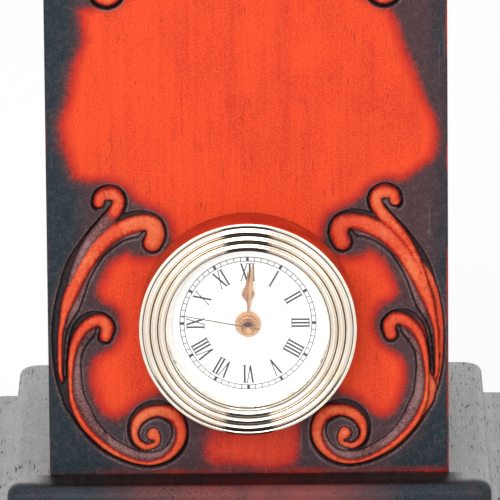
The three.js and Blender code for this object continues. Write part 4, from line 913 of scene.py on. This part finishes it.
def brushed(paint, colours, shade, rough):
    """Metal that is brushed upright."""
    grain = paint.noise(1.0, 3, along_axis(2, 900.0, 60.0))
    darker = tuple(channel * 0.62 for channel in linear(*shade))
    mixed = paint.mix(grain, linear(*shade), darker)
    rough = rough + (grain - 0.5) * 0.2
    return paint.surface(Base_Color=mixed, Metallic=1.0, Roughness=rough, Normal=paint.bump(grain, 0.12))


def felt_cloth(paint, colours):
    """Green felt of the pads."""
    fibre = paint.noise(1100.0, 5, distortion=1.5)
    shade = paint.mix(fibre, TONE.felt_dark, TONE.felt_light)
    return paint.surface(Base_Color=shade, Roughness=0.95, Sheen_Weight=0.4, Normal=paint.bump(fibre, 0.8))


def coil_wire(paint, colours):
    """Fine copper wire, wound in rows."""
    rows = {"Vector": paint.place(), "Scale": 1400.0}
    wave = paint.node("ShaderNodeTexWave", {"bands_direction": "Z"}, rows)
    shade = paint.mix(wave, TONE.coil_dark, TONE.coil_bright)
    return paint.surface(Base_Color=shade, Metallic=0.9, Roughness=0.3, Normal=paint.bump(wave, 0.6))


# Each finish: the function that makes it and the values that it takes.
FINISH_MAKERS = {
    "carved_stain": (carved_stain,),
    "ring_stain": (ring_stain,),
    "base_stain": (dark_stain, 1, BASE[1].z, 1.0, 74 * MM),
    "plinth_stain": (dark_stain, 1, PLINTH[1].z, 0.0, PLINTH[1].y),
    "side_stain": (dark_stain, 2),
    "cap_stain": (dark_stain, 1, CAP[1].z, 0.0, CAP[1].y),
    "gold_plate": (gold_plate,),
    # Plated hands: bright and dull tone, the painted dark reflection on faces that look down and its
    # share, then roughness.
    "hour_plate": (plated, (198, 148, 118), (170, 120, 94), (96, 66, 54), 0.7),
    "minute_plate": (plated, (230, 186, 144), (212, 164, 124), (140, 98, 70), 0.6, 0.28),
    "cap_plate": (plated, (176, 132, 98), (148, 108, 80), (84, 60, 50), 0.92, 0.42),
    "second_plate": (plated, (150, 122, 106), (128, 100, 86), (60, 42, 36), 0.9),
    "dial_enamel": (dial_enamel,),
    "dial_ink": (dial_ink,),
    "clear_glass": (clear_glass,),
    "felt_cloth": (felt_cloth,),
    "coil_wire": (coil_wire,),
    "black_plastic": (plastic, (24, 24, 25), 0.5),
    "grip_rubber": (plastic, (34, 34, 37), 0.85),
    "white_plastic": (plastic, (232, 229, 218), 0.42, 0.2),
    "circuit_lacquer": (plastic, (22, 86, 50), 0.35),
    "steel": (brushed, (176, 178, 182), 0.32),
    "contact_brass": (brushed, (208, 170, 92), 0.3),
}


def grid_lines(size, margin, fine, coarse):
    """Grid positions from 0 to size: fine within a margin of both ends, coarse between."""
    stops = ((0, margin, fine), (margin, size - margin, coarse), (size - margin, size, fine))
    lines = [np.linspace(low, high, max(2, round((high - low) / step) + 1)) for low, high, step in stops]
    return np.concatenate([lines[0], lines[1][1:], lines[2][1:]])


def board_masks(across, up, edge, masks):
    """Adds the masks that aren't alike in all four corners, in mm from the lower left corner."""
    width, height = WIDTH / MM, HEIGHT / MM
    on_right = across > width / 2
    # On the left the stem takes the flutes' maroon and painted sheen; on the right it keeps the crest
    # stain.
    masks["flute"] = np.maximum(masks["flute"], masks["stem"] * ~on_right)
    masks["stem"] = masks["stem"] * on_right
    bank = masks.pop("bank") * on_right
    masks["crest"] = np.maximum(masks["crest"], bank * 0.9)
    # The painted shade of the deepest floor joins the dark lines, except on the banks.
    masks["line"] = np.maximum(masks["line"], masks.pop("floor_shade") * (1 - bank))
    masks["foot"] = (1 - smooth(up, 0.3, 3.0)) * smooth(across, 6, 40)
    masks["field"] = np.clip(field_distance(across, up), -8, 8)
    masks["arris"] = 1 - smooth(edge, 0.15, 0.9)
    from_side = np.minimum(across, width - across)
    corner = 1 - smooth(np.hypot(from_side / 1.3, np.minimum(up, height - up)), 5, 19)
    masks["outer"] = np.maximum(1 - smooth(from_side, 1, 13), corner)
    from_middle = np.abs(across - width / 2)
    masks["glow"] = smooth(up, -1, 8) * (1 - smooth(up, 16, 26)) * (1 - smooth(from_middle, 7, 18))
    return masks


def carved_board(sizes, material):
    """The front board: a height field of scrolls with eased arrises, sides, back and bore."""
    coarser = 1.0
    fine, coarse = sizes.fine_step * coarser, sizes.coarse_step
    columns = grid_lines(WIDTH, FINE_ACROSS, fine, coarse)
    rows = grid_lines(HEIGHT, FINE_UP, fine, coarse)
    # The carving is worked out for one corner and unfolded to all four.
    folded = [np.round(np.minimum(line, line[-1] - line) / MM, 6) for line in (columns, rows)]
    corner_x, corner_z = (np.unique(line) for line in folded)
    mesh_x, mesh_z = np.meshgrid(corner_x, corner_z)
    corner_depth, corner_masks = carving(mesh_x.ravel(), mesh_z.ravel(), sizes)
    pick_x, pick_z = np.searchsorted(corner_x, folded[0]), np.searchsorted(corner_z, folded[1])

    def unfold(values):
        return values.reshape(mesh_x.shape)[np.ix_(pick_z, pick_x)].ravel()

    across, up = (line.ravel() / MM for line in np.meshgrid(columns, rows))
    edge = np.minimum.reduce([across, WIDTH / MM - across, up, HEIGHT / MM - up])
    radius = sizes.arris / MM
    rounding = radius - np.sqrt(np.maximum(radius**2 - np.clip(radius - edge, 0, radius) ** 2, 0))
    depth = unfold(corner_depth)
    depth = depth + 0.05 * ripple(across, up, 6, 3) * smooth(depth, 0.05, 0.6)
    depth = np.maximum(depth, rounding)
    masks = {name: unfold(values) for name, values in corner_masks.items()}
    masks = board_masks(across, up, edge, masks)

    x, z = BOARD[0].x + across * MM, BOARD[0].z + up * MM
    from_axis = np.hypot(x, z - AXIS_Z)
    index = np.arange(across.size).reshape(len(rows), len(columns))
    quads = np.stack([index[:-1, :-1], index[:-1, 1:], index[1:, 1:], index[1:, :-1]], -1).reshape(-1, 4)
    kept = quads[(from_axis[quads] > BORE_RADIUS).any(1)]
    used = np.zeros(across.size, bool)
    used[kept.ravel()] = True
    snap = used & (from_axis < BORE_RADIUS)
    pull = np.where(snap, BORE_RADIUS / np.maximum(from_axis, 1e-9), 1.0)
    number = np.cumsum(used) - 1
    vertices = np.stack([x * pull, FACE_Y + depth * MM, AXIS_Z + (z - AXIS_Z) * pull], 1)[used]
    mesh = bpy.data.meshes.new("carved_front_board")
    mesh.from_pydata(vertices.tolist(), [], number[kept].tolist())
    for name, values in masks.items():
        layer = mesh.attributes.new(name, "FLOAT", "POINT")
        layer.data.foreach_set("value", values[used].astype(np.float32))

    shape = bmesh.new()
    shape.from_mesh(mesh)
    rim = [edge for edge in shape.edges if edge.is_boundary]
    grown = bmesh.ops.extrude_edge_only(shape, edges=rim)["geom"]
    for vertex in grown:
        if isinstance(vertex, bmesh.types.BMVert):
            vertex.co.y = BOARD[1].y
    back = [edge for edge in grown if isinstance(edge, bmesh.types.BMEdge) and edge.is_boundary]
    bmesh.ops.triangle_fill(shape, edges=back, use_beauty=True)
    return finish_mesh("carved_front_board", write_mesh(shape, mesh), material, 70)


def moulded_board(name, box, profile, material, corner=2 * MM, steps=6):
    """A board whose edge follows (outset, height) pairs round its rounded corners."""
    half_x, half_y = box[1].x, box[1].y
    vertices = []
    for outset, height in profile:
        for side_x, side_y, start in ((1, 1, 0), (-1, 1, 90), (-1, -1, 180), (1, -1, 270)):
            for step in range(steps + 1):
                angle = np.radians(start + 90 * step / steps)
                x = side_x * (half_x + outset - corner) + corner * np.cos(angle)
                y = side_y * (half_y + outset - corner) + corner * np.sin(angle)
                vertices.append((x, y, height))
    count = 4 * (steps + 1)
    faces = [tuple(range(count))[::-1]]
    for low in range(0, (len(profile) - 1) * count, count):
        for i in range(count):
            j = (i + 1) % count
            faces.append((low + i, low + j, low + count + j, low + count + i))
    faces.append(tuple(range((len(profile) - 1) * count, len(profile) * count)))
    made = mesh_object(name, vertices, faces, material, 30)
    made.data.set_sharp_from_angle(angle=np.radians(30))
    return made


def rounded(bottom, top, radius, steps=9):
    """Edge profile with a rounded upper edge."""
    angles = np.linspace(0, np.pi / 2, steps)
    return [(0.0, bottom)] + [(-radius * (1 - np.cos(a)), top - radius * (1 - np.sin(a))) for a in angles]


def stepped(bottom, top, radius, cove, steps=9):
    """Edge profile with a cove below and a rounded upper edge."""
    angles = np.linspace(0, np.pi / 2, steps)
    hollow = [(cove * (1 - np.sin(a)), bottom + cove * (1 - np.cos(a))) for a in angles]
    return hollow + rounded(bottom, top, radius, steps)[1:]


def strip(name, outlines, front, back, material):
    """Flat outlines, seen from the front as (x, z) rings, made solid between two depths."""
    shape = bmesh.new()
    for outline in outlines:
        face, rear = ([shape.verts.new((x, y, z)) for x, z in outline] for y in (front, back))
        shape.faces.new(face)
        shape.faces.new(rear[::-1])
        for i in range(len(outline)):
            j = (i + 1) % len(outline)
            shape.faces.new((face[i], rear[i], rear[j], face[j]))
    return finish_mesh(name, write_mesh(shape, bpy.data.meshes.new(name)), material, 30)


def bar(start, end, width):
    """A straight stroke as a four-cornered outline."""
    a, b = np.array(start, float), np.array(end, float)
    along = (b - a) / np.linalg.norm(b - a)
    side = np.array([-along[1], along[0]]) * width / 2
    return [a - side, b - side, b + side, a + side]


# Each letter in mm: its width, half the width of a serif, whether its foot has serifs, and its
# strokes as places across at the foot and at the head, the thick one first.
LETTERS = {
    "I": (1.05, 0.525, True, ((0, 0),)),
    "V": (2.25, 0.3, False, ((0, -0.82), (0, 0.82))),
    "X": (2.35, 0.3, True, ((0.85, -0.85), (-0.85, 0.85))),
}
HOURS = ("XII", "I", "II", "III", "IIII", "V", "VI", "VII", "VIII", "IX", "X", "XI")


def numeral_strokes(letters, sizes):
    """Strokes of a Roman numeral in its own frame: x across, y from the centre outward."""
    foot, head = sizes.numeral_inner, sizes.numeral_outer
    widths = (sizes.print_bar, sizes.print_line * 1.25)
    start = -sum(LETTERS[letter][0] for letter in letters) * MM / 2
    strokes = []
    for letter in letters:
        width, serif, footed, leans = LETTERS[letter]
        middle = start + width * MM / 2
        for (low, high), thickness in zip(leans, widths):
            ends = ((middle + low * MM, foot), (middle + high * MM, head))
            strokes.append(bar(*ends, thickness))
            for x, y in ends if footed else ends[1:]:
                strokes.append(bar((x - serif * MM, y), (x + serif * MM, y), sizes.print_line))
        start += width * MM
    return strokes


def turned_outline(points, clockwise):
    """Points in a hand's own frame, turned clockwise as seen from the front and set on the axis."""
    cosine, sine = np.cos(np.radians(clockwise)), np.sin(np.radians(clockwise))
    return [(x * cosine + y * sine, AXIS_Z + y * cosine - x * sine) for x, y in points]


def dial_print(sizes, material):
    """Numerals, minute marks and the two lines of the track, a film on the dial's face."""
    outlines = []
    for hour, letters in enumerate(HOURS):
        outlines += [turned_outline(stroke, hour * 30) for stroke in numeral_strokes(letters, sizes)]
    for minute in range(60):
        wide = 0.85 * MM if minute % 5 == 0 else sizes.print_line
        tick = bar((0, sizes.track_inner), (0, sizes.track_outer), wide)
        outlines.append(turned_outline(tick, minute * 6))
    half = sizes.print_line / 2
    for middle in (sizes.track_inner, sizes.track_outer):
        for degrees in range(0, 360, 3):
            a, b = np.radians(degrees), np.radians(degrees + 3)
            corners = ((middle - half, a), (middle - half, b), (middle + half, b), (middle + half, a))
            ring = [(radius * np.sin(turn), radius * np.cos(turn)) for radius, turn in corners]
            outlines.append(turned_outline(ring, 0))
    face = DIAL[0].y
    return strip("dial_print", outlines, face - 0.03 * MM, face - 0.002 * MM, material)


def hand_outline(points, steps=40):
    """A smooth right half outline through a few (half width, height) points in mm."""
    curve = through([(w * MM, h * MM) for w, h in points], steps)
    return [(max(w, 0.03 * MM), h) for w, h in curve]


def blade(name, half, clockwise, front, thickness, ridge, material):
    """A pressed hand: half its outline, mirrored, with a ridge down its middle."""
    count = len(half)
    right, spine, left = (
        turned_outline([(x * side, y) for x, y in half], clockwise) for side in (1, 0, -1)
    )
    back = front + thickness
    rows = [(right, front), (spine, front - ridge), (left, front), (left, back), (right, back)]
    vertices = [(x, y, z) for outline, y in rows for x, z in outline]
    faces = [[row * count + end for row in range(5)] for end in (0, count - 1)]
    for row in range(5):
        a, b = row * count, (row + 1) % 5 * count
        faces += [(a + i, a + i + 1, b + i + 1, b + i) for i in range(count - 1)]
    return mesh_object(name, vertices, faces, material, 15)


def joined(name, pieces):
    """Joins several new objects into one."""
    shape = bmesh.new()
    materials = list(dict.fromkeys(piece.data.materials[0] for piece in pieces))
    for piece in pieces:
        already = len(shape.faces)
        shape.from_mesh(piece.data)
        shape.faces.ensure_lookup_table()
        for face in shape.faces[already:]:
            face.material_index = materials.index(piece.data.materials[0])
    mesh = write_mesh(shape, bpy.data.meshes.new(name), turn_outward=False)
    for piece in pieces:
        bpy.data.objects.remove(piece)
    made = finish_mesh(name, mesh, materials[0], 30)
    for material in materials[1:]:
        made.data.materials.append(material)
    return made


def dress(finish_name, *nodes):
    """Gives carried-over CAD nodes their finish."""
    for node in nodes:
        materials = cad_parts[node].data.materials
        materials.clear()
        materials.append(finish(finish_name))


def stand_for(piece, body, node):
    """Rides the piece on its body, in place of a CAD node."""
    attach(piece, body)
    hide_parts(node)


class CLOCK_OT_carved_front(bpy.types.Operator):
    """Builds the front board with its carved scrolls and airbrushed stain"""

    bl_idname = "clock.carved_front"
    bl_label = "Carved front board"

    def execute(self, context):
        board = carved_board(context.scene.clock_carving, finish("carved_stain"))
        stand_for(board, "case", "front_board")
        return {"FINISHED"}


class CLOCK_OT_mounting_ring(bpy.types.Operator):
    """Builds the turned ring that holds the capsule"""

    bl_idname = "clock.mounting_ring"
    bl_label = "Mounting ring"

    def execute(self, context):
        outer, front, back = RING[1].x, RING[0].y, RING[1].y
        ease = 0.3 * MM
        profile = [(BORE_RADIUS, back), (outer, back), (outer, front + ease)]
        profile += [(outer - ease * 0.3, front + ease * 0.3), (outer - ease, front), (BORE_RADIUS, front)]
        ring = turned("turned_ring", profile, finish("ring_stain"), context.scene.clock_capsule.segments)
        stand_for(ring, "case", "mounting_ring")
        return {"FINISHED"}


class CLOCK_OT_boards(bpy.types.Operator):
    """Builds the stepped base and the cap, and finishes the plain boards of the tower"""

    bl_idname = "clock.boards"
    bl_label = "Base, cap and boards"

    def execute(self, context):
        edge = stepped(BASE[0].z, BASE[1].z, 3.6 * MM, 4.4 * MM)
        edge = [(outset - 2.6 * MM, height) for outset, height in edge]
        narrow = (BASE[0], BASE[1] - Vector((1.4 * MM, 0, 0)))
        base = moulded_board("stepped_base", narrow, edge, finish("base_stain"), 4 * MM)
        stand_for(base, "case", "base_board")
        for name, node, box in (("base_plinth", "plinth", PLINTH), ("cap_slab", "cap", CAP)):
            edge = rounded(box[0].z, box[1].z, 5 * MM)
            board = moulded_board(name, box, edge, finish(f"{node}_stain"))
            stand_for(board, "case", f"{node}_board")
        dress("side_stain", "left_side_board", "right_side_board", "back_board")
        return {"FINISHED"}


class CLOCK_OT_feet(bpy.types.Operator):
    """Finishes the felt pads and the base screws"""

    bl_idname = "clock.feet"
    bl_label = "Felt pads and screws"

    def execute(self, context):
        for number in range(1, 5):
            dress("felt_cloth", f"felt_pad_{number}")
            dress("steel", f"base_screw_{number}")
        return {"FINISHED"}


class CLOCK_OT_bezel(bpy.types.Operator):
    """Builds the gold bezel with its three rounded ribs and polished cone, which carries a painted pale
    reflection of the dial
    """

    bl_idname = "clock.bezel"
    bl_label = "Bezel"

    def execute(self, context):
        sizes = context.scene.clock_capsule
        ribs, steps = 3, 14
        play = 0.3 * MM
        outer = BEZEL[1].x
        back = RING[0].y - play
        rim_front = back - 0.7 * MM
        start = outer - sizes.rim_width
        profile = [
            (outer, back),
            (outer, rim_front + 0.3 * MM),
            (outer - 0.1 * MM, rim_front + 0.08 * MM),
            (outer - 0.35 * MM, rim_front),
            (start + 0.05 * MM, rim_front - 0.05 * MM),
        ]
        for step in range(ribs * steps):
            rib, share = step // steps, step % steps / steps
            base = rim_front - sizes.rib_step * (rib + share)
            lift = sizes.rib_bulge * np.sin(np.pi * share) ** 0.75
            profile.append((start - sizes.rib_width * (rib + share), base - lift))
        aperture = start - ribs * sizes.rib_width
        lip = rim_front - ribs * sizes.rib_step
        cone_back = DIAL[0].y - play
        lens_seat, lens_back = LENS[1].x + play, LENS[1].y + play
        shown = 22.7 * MM
        profile += [
            (aperture, lip),
            (aperture - 0.3 * MM, lip + 0.15 * MM),
            (aperture - 0.42 * MM, lip + 0.6 * MM),
            (lens_seat, lip + 0.6 * MM),
            (lens_seat, lens_back),
            (aperture - 0.4 * MM, lens_back),
            (shown + 0.15 * MM, cone_back - 0.3 * MM),
            (shown, cone_back),
            (shown + 1.3 * MM, cone_back),
            (aperture + 1.6 * MM, back),
        ]
        bezel = turned("gold_bezel", profile, finish("gold_plate"), sizes.segments, sharp=55)
        stand_for(bezel, "capsule", "bezel")
        return {"FINISHED"}


class CLOCK_OT_lens(bpy.types.Operator):
    """Builds the domed lens"""

    bl_idname = "clock.lens"
    bl_label = "Lens"

    def execute(self, context):
        radius, front, back = LENS[1].x, LENS[0].y, LENS[1].y
        dome = 0.7 * MM
        edge = radius - 0.9 * MM
        outside = [(edge * s, front + dome * s**2) for s in np.linspace(0, 1, 12)]
        inside = [(x, y + back - front - dome) for x, y in reversed(outside)]
        profile = outside + [(radius, front + dome), (radius, back)] + inside
        segments = context.scene.clock_capsule.segments
        lens = turned("domed_lens", profile, finish("clear_glass"), segments, closed=False)
        stand_for(lens, "capsule", "lens")
        return {"FINISHED"}


class CLOCK_OT_dial(bpy.types.Operator):
    """Builds the white dial with its numerals and minute track"""

    bl_idname = "clock.dial"
    bl_label = "Dial"

    def execute(self, context):
        sizes = context.scene.clock_capsule
        hole, outer, front, back = 2.4 * MM, DIAL[1].x, DIAL[0].y, DIAL[1].y
        profile = [(hole, back), (outer, back), (outer, front), (hole, front)]
        dial = turned("dial_disc", profile, finish("dial_enamel"), sizes.segments)
        stand_for(dial, "capsule", "dial")
        marks = dial_print(sizes, finish("dial_ink"))
        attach(marks, "capsule")
        return {"FINISHED"}


# Right halves of the hands' outlines, as half width and height above the axis in mm.
SPADE = [
    (0.24, 2.4), (0.22, 5), (0.4, 6.8), (1.3, 7.9), (1.86, 9.2), (1.5, 10.5), (0.7, 12), (0.4, 14),
    (0.03, 16.6),
]
LANCE = [(0.16, 2), (0.2, 4), (0.42, 8), (0.6, 12.2), (0.52, 15), (0.34, 17.6), (0.03, 19.5)]
NEEDLE = [(0.16, -3.4), (0.19, 0), (0.11, 20.2)]
# The hour and minute hand's bosses: hole, outer radius and the radii of the flat front, in mm.
HOUR_BOSS = (2.2, 3.87, 3.7, 3.2, 2.2)
MINUTE_BOSS = (1.25, 2.8, 2.62, 1.25)
# The second hand's cap from its middle out and back, as radius and depth in mm.
CAP_DISH = [(share * 1.86, 0.82 - 0.76 * share) for share in (0, 0.12, 0.35, 0.6, 0.85, 0.97)]
CAP_RIM = [(1.86, 0.05), (1.92, 0), (2.02, 0.06), (2.08, 0.3), (2.08, 1.4)]
CAP_INSIDE = [(0.5, 1.4), (0.5, 1), (0, 1)]
HAND_SEGMENTS = 72


def pressed_hand(name, hand, outline, clockwise, ridge, metal, boss):
    """The hour or minute hand: a ridged blade with a round boss."""
    plate = 0.35 * MM
    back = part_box(f"{hand}_hand")[1].y
    front = back - plate
    half = hand_outline(outline)
    pieces = [blade(f"{hand}_blade", half, clockwise, front, plate, ridge * MM, finish(metal))]
    hole, outer, *face = boss
    profile = [(hole, back), (outer, back), (outer, front - 0.1 * MM)]
    profile += [(radius, front - 0.3 * MM) for radius in face]
    profile = [(radius * MM, y) for radius, y in profile]
    pieces.append(turned(f"{hand}_boss", profile, finish("minute_plate"), HAND_SEGMENTS))
    stand_for(joined(name, pieces), f"{hand}s", f"{hand}_hand")


class CLOCK_OT_hands(bpy.types.Operator):
    """Builds the spade hour hand, the lance minute hand and the second hand"""

    bl_idname = "clock.hands"
    bl_label = "Hands"

    def execute(self, context):
        seconds = 46.75
        pressed_hand("hour_hand_spade", "hour", SPADE, seconds / 120, 0.12, "hour_plate", HOUR_BOSS)
        pressed_hand("minute_hand_lance", "minute", LANCE, seconds / 10, 0.25, "minute_plate", MINUTE_BOSS)
        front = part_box("second_hand")[0].y
        half = [(width * MM, height * MM) for width, height in NEEDLE]
        metal = finish("second_plate")
        needle = blade("second_blade", half, seconds * 6, front + 1.0 * MM, 0.22 * MM, 0.08 * MM, metal)
        profile = [(radius * MM, front + depth * MM) for radius, depth in CAP_DISH + CAP_RIM + CAP_INSIDE]
        cap = turned("second_cap", profile, finish("cap_plate"), HAND_SEGMENTS, closed=False)
        stand_for(joined("second_hand_needle", [needle, cap]), "seconds", "second_hand")
        return {"FINISHED"}


class CLOCK_OT_capsule_back(bpy.types.Operator):
    """Finishes the cup, grip ring, knob, battery and battery cover"""

    bl_idname = "clock.capsule_back"
    bl_label = "Capsule back"

    def execute(self, context):
        dress("black_plastic", "capsule_cup", "setting_knob", "battery_cover")
        dress("grip_rubber", "grip_ring")
        dress("steel", "battery")
        return {"FINISHED"}


class CLOCK_OT_movement(bpy.types.Operator):
    """Finishes the wheels, plates and motor of the movement"""

    bl_idname = "clock.movement"
    bl_label = "Movement"

    def execute(self, context):
        dress("white_plastic", "movement_front_plate", "movement_rear_plate")
        dress("white_plastic", "seconds_wheel", "third_wheel", "centre_wheel", "cannon_pinion")
        dress("white_plastic", "reverse_wheel", "hour_wheel", "step_wheel")
        dress("steel", "motor_rotor", "motor_stator", "quartz_crystal")
        dress("coil_wire", "motor_coil")
        dress("circuit_lacquer", "circuit_board")
        dress("black_plastic", "chip_cover")
        dress("contact_brass", "negative_contact", "positive_contact")
        return {"FINISHED"}


# The studio's lamps: where they stand, their width and height in metres and their power in watts.
LAMPS = {
    "key_light": ((-0.6, -2.35, 1.0), (1.8, 1.5), 47),
    "fill_light": ((1.2, -2.3, 0.8), (1.0, 1.0), 11.5),
    "top_light": ((0, -0.2, 2.1), (1.2, 1.2), 9),
}
LIT_CENTRE = (0, 0, 0.13)
WHITE = (1, 1, 1, 1)


class CLOCK_OT_stage(bpy.types.Operator):
    """Builds the pale floor, the studio light and the camera"""

    bl_idname = "clock.stage"
    bl_label = "Stage"

    def execute(self, context):
        scene = context.scene
        scene.view_settings.view_transform = "Standard"
        half = 2.0
        corners = [(-half, -half, 0), (half, -half, 0), (half, half, 0), (-half, half, 0)]
        floor = mesh_object("floor", corners, [(0, 1, 2, 3)], self.floor_finish(), closed=False)
        self.light_world(scene)
        for name, lamp in LAMPS.items():
            self.hang_lamp(scene, name, *lamp)
        self.place_camera(scene)
        return {"FINISHED"}

    def floor_finish(self):
        """Pale and matt, brighter where the camera sees it, and it keeps the shadow."""
        paint = Finish("pale_floor")
        shade = paint.mix(paint.noise(9.0, 3), TONE.floor_light, TONE.floor_dull)
        values = {"Base Color": shade, "Roughness": 0.85, "Specular IOR Level": 0.2}
        board = paint.node("ShaderNodeBsdfPrincipled", None, values)
        white = paint.node("ShaderNodeEmission", None, {"Color": WHITE, "Strength": 1.13})
        seen = paint.node("ShaderNodeLightPath", output="Is Camera Ray")
        return paint.output(paint.node("ShaderNodeMixShader", None, (seen * 0.7, board, white)))

    def light_world(self, scene):
        """Soft light all round; the camera, gloss and glass see it white."""
        world = bpy.data.worlds.new("studio")
        scene.world = world
        world.use_nodes = True
        sky = Nodes(world.node_tree)
        lit, seen = (
            sky.node("ShaderNodeBackground", None, {"Color": WHITE, "Strength": strength})
            for strength in (0.42, 1.0)
        )
        camera, glossy, passed = (
            sky.node("ShaderNodeLightPath", output=f"Is {kind} Ray")
            for kind in ("Camera", "Glossy", "Transmission")
        )
        mixed = sky.node("ShaderNodeMixShader", None, (camera.larger(glossy).larger(passed), lit, seen))
        sky.node("ShaderNodeOutputWorld", None, {"Surface": mixed})

    def hang_lamp(self, scene, name, place, size, power):
        lamp = bpy.data.lights.new(name, "AREA")
        lamp.shape = "RECTANGLE"
        lamp.size, lamp.size_y = size
        lamp.energy = power
        holder = bpy.data.objects.new(name, lamp)
        scene.collection.objects.link(holder)
        holder.location = place
        aim = Vector(LIT_CENTRE) - Vector(place)
        holder.rotation_euler = aim.to_track_quat("-Z", "Y").to_euler()

    def place_camera(self, scene):
        """A long lens, slightly above and turned, as the object was taken."""
        azimuth, elevation, roll = np.radians([0.282, 14.003, 0.505])
        frame_pixels, focal_pixels, scale = 500, 9302.0, 0.299 * MM
        level = np.array([np.sin(azimuth), -np.cos(azimuth), 0]) * np.cos(elevation)
        toward = level + np.array([0, 0, np.sin(elevation)])
        right = np.array([np.cos(azimuth), np.sin(azimuth), 0])
        above = np.cross(toward, right)
        target = np.array([0.7625 * MM, FACE_Y, 97.418 * MM])
        place = target + toward * focal_pixels * scale
        turned_right = right * np.cos(roll) - above * np.sin(roll)
        turned_up = above * np.cos(roll) + right * np.sin(roll)
        camera = bpy.data.cameras.new("view")
        camera.sensor_width = 36
        camera.lens = focal_pixels / frame_pixels * camera.sensor_width
        camera.clip_end = 20
        holder = bpy.data.objects.new("view", camera)
        scene.collection.objects.link(holder)
        columns = np.stack([turned_right, turned_up, toward, place], 1)
        holder.matrix_world = Matrix([*columns.tolist(), (0, 0, 0, 1)])
        scene.camera = holder


class CLOCK_PT_panel(bpy.types.Panel):
    """Lists the clock's pieces in the sidebar"""

    bl_idname = "CLOCK_PT_panel"
    bl_label = "Clock"
    bl_space_type = "VIEW_3D"
    bl_region_type = "UI"
    bl_category = "Clock"

    def draw(self, context):
        for operator in OPERATORS:
            self.layout.operator(operator.bl_idname)
        for group in GROUPS:
            settings = getattr(context.scene, group)
            box = self.layout.box()
            for name in settings.bl_rna.properties.keys():
                if name not in ("rna_type", "name"):
                    box.prop(settings, name)


OPERATORS = (
    CLOCK_OT_stage,
    CLOCK_OT_carved_front,
    CLOCK_OT_mounting_ring,
    CLOCK_OT_boards,
    CLOCK_OT_feet,
    CLOCK_OT_bezel,
    CLOCK_OT_lens,
    CLOCK_OT_dial,
    CLOCK_OT_hands,
    CLOCK_OT_capsule_back,
    CLOCK_OT_movement,
)
GROUPS = {
    "clock_carving": CarvingSizes,
    "clock_capsule": CapsuleSizes,
    "clock_colours": ClockColours,
}


def register():
    for group in GROUPS.values():
        bpy.utils.register_class(group)
    for name, group in GROUPS.items():
        setattr(bpy.types.Scene, name, PointerProperty(type=group))
    for operator in OPERATORS:
        bpy.utils.register_class(operator)
    bpy.utils.register_class(CLOCK_PT_panel)


def unregister():
    bpy.utils.unregister_class(CLOCK_PT_panel)
    for operator in reversed(OPERATORS):
        bpy.utils.unregister_class(operator)
    for name, group in GROUPS.items():
        delattr(bpy.types.Scene, name)
        bpy.utils.unregister_class(group)


def main():
    register()
    for operator in OPERATORS:
        group, name = operator.bl_idname.split(".")
        getattr(getattr(bpy.ops, group), name)()


if __name__ == "__main__":
    main()
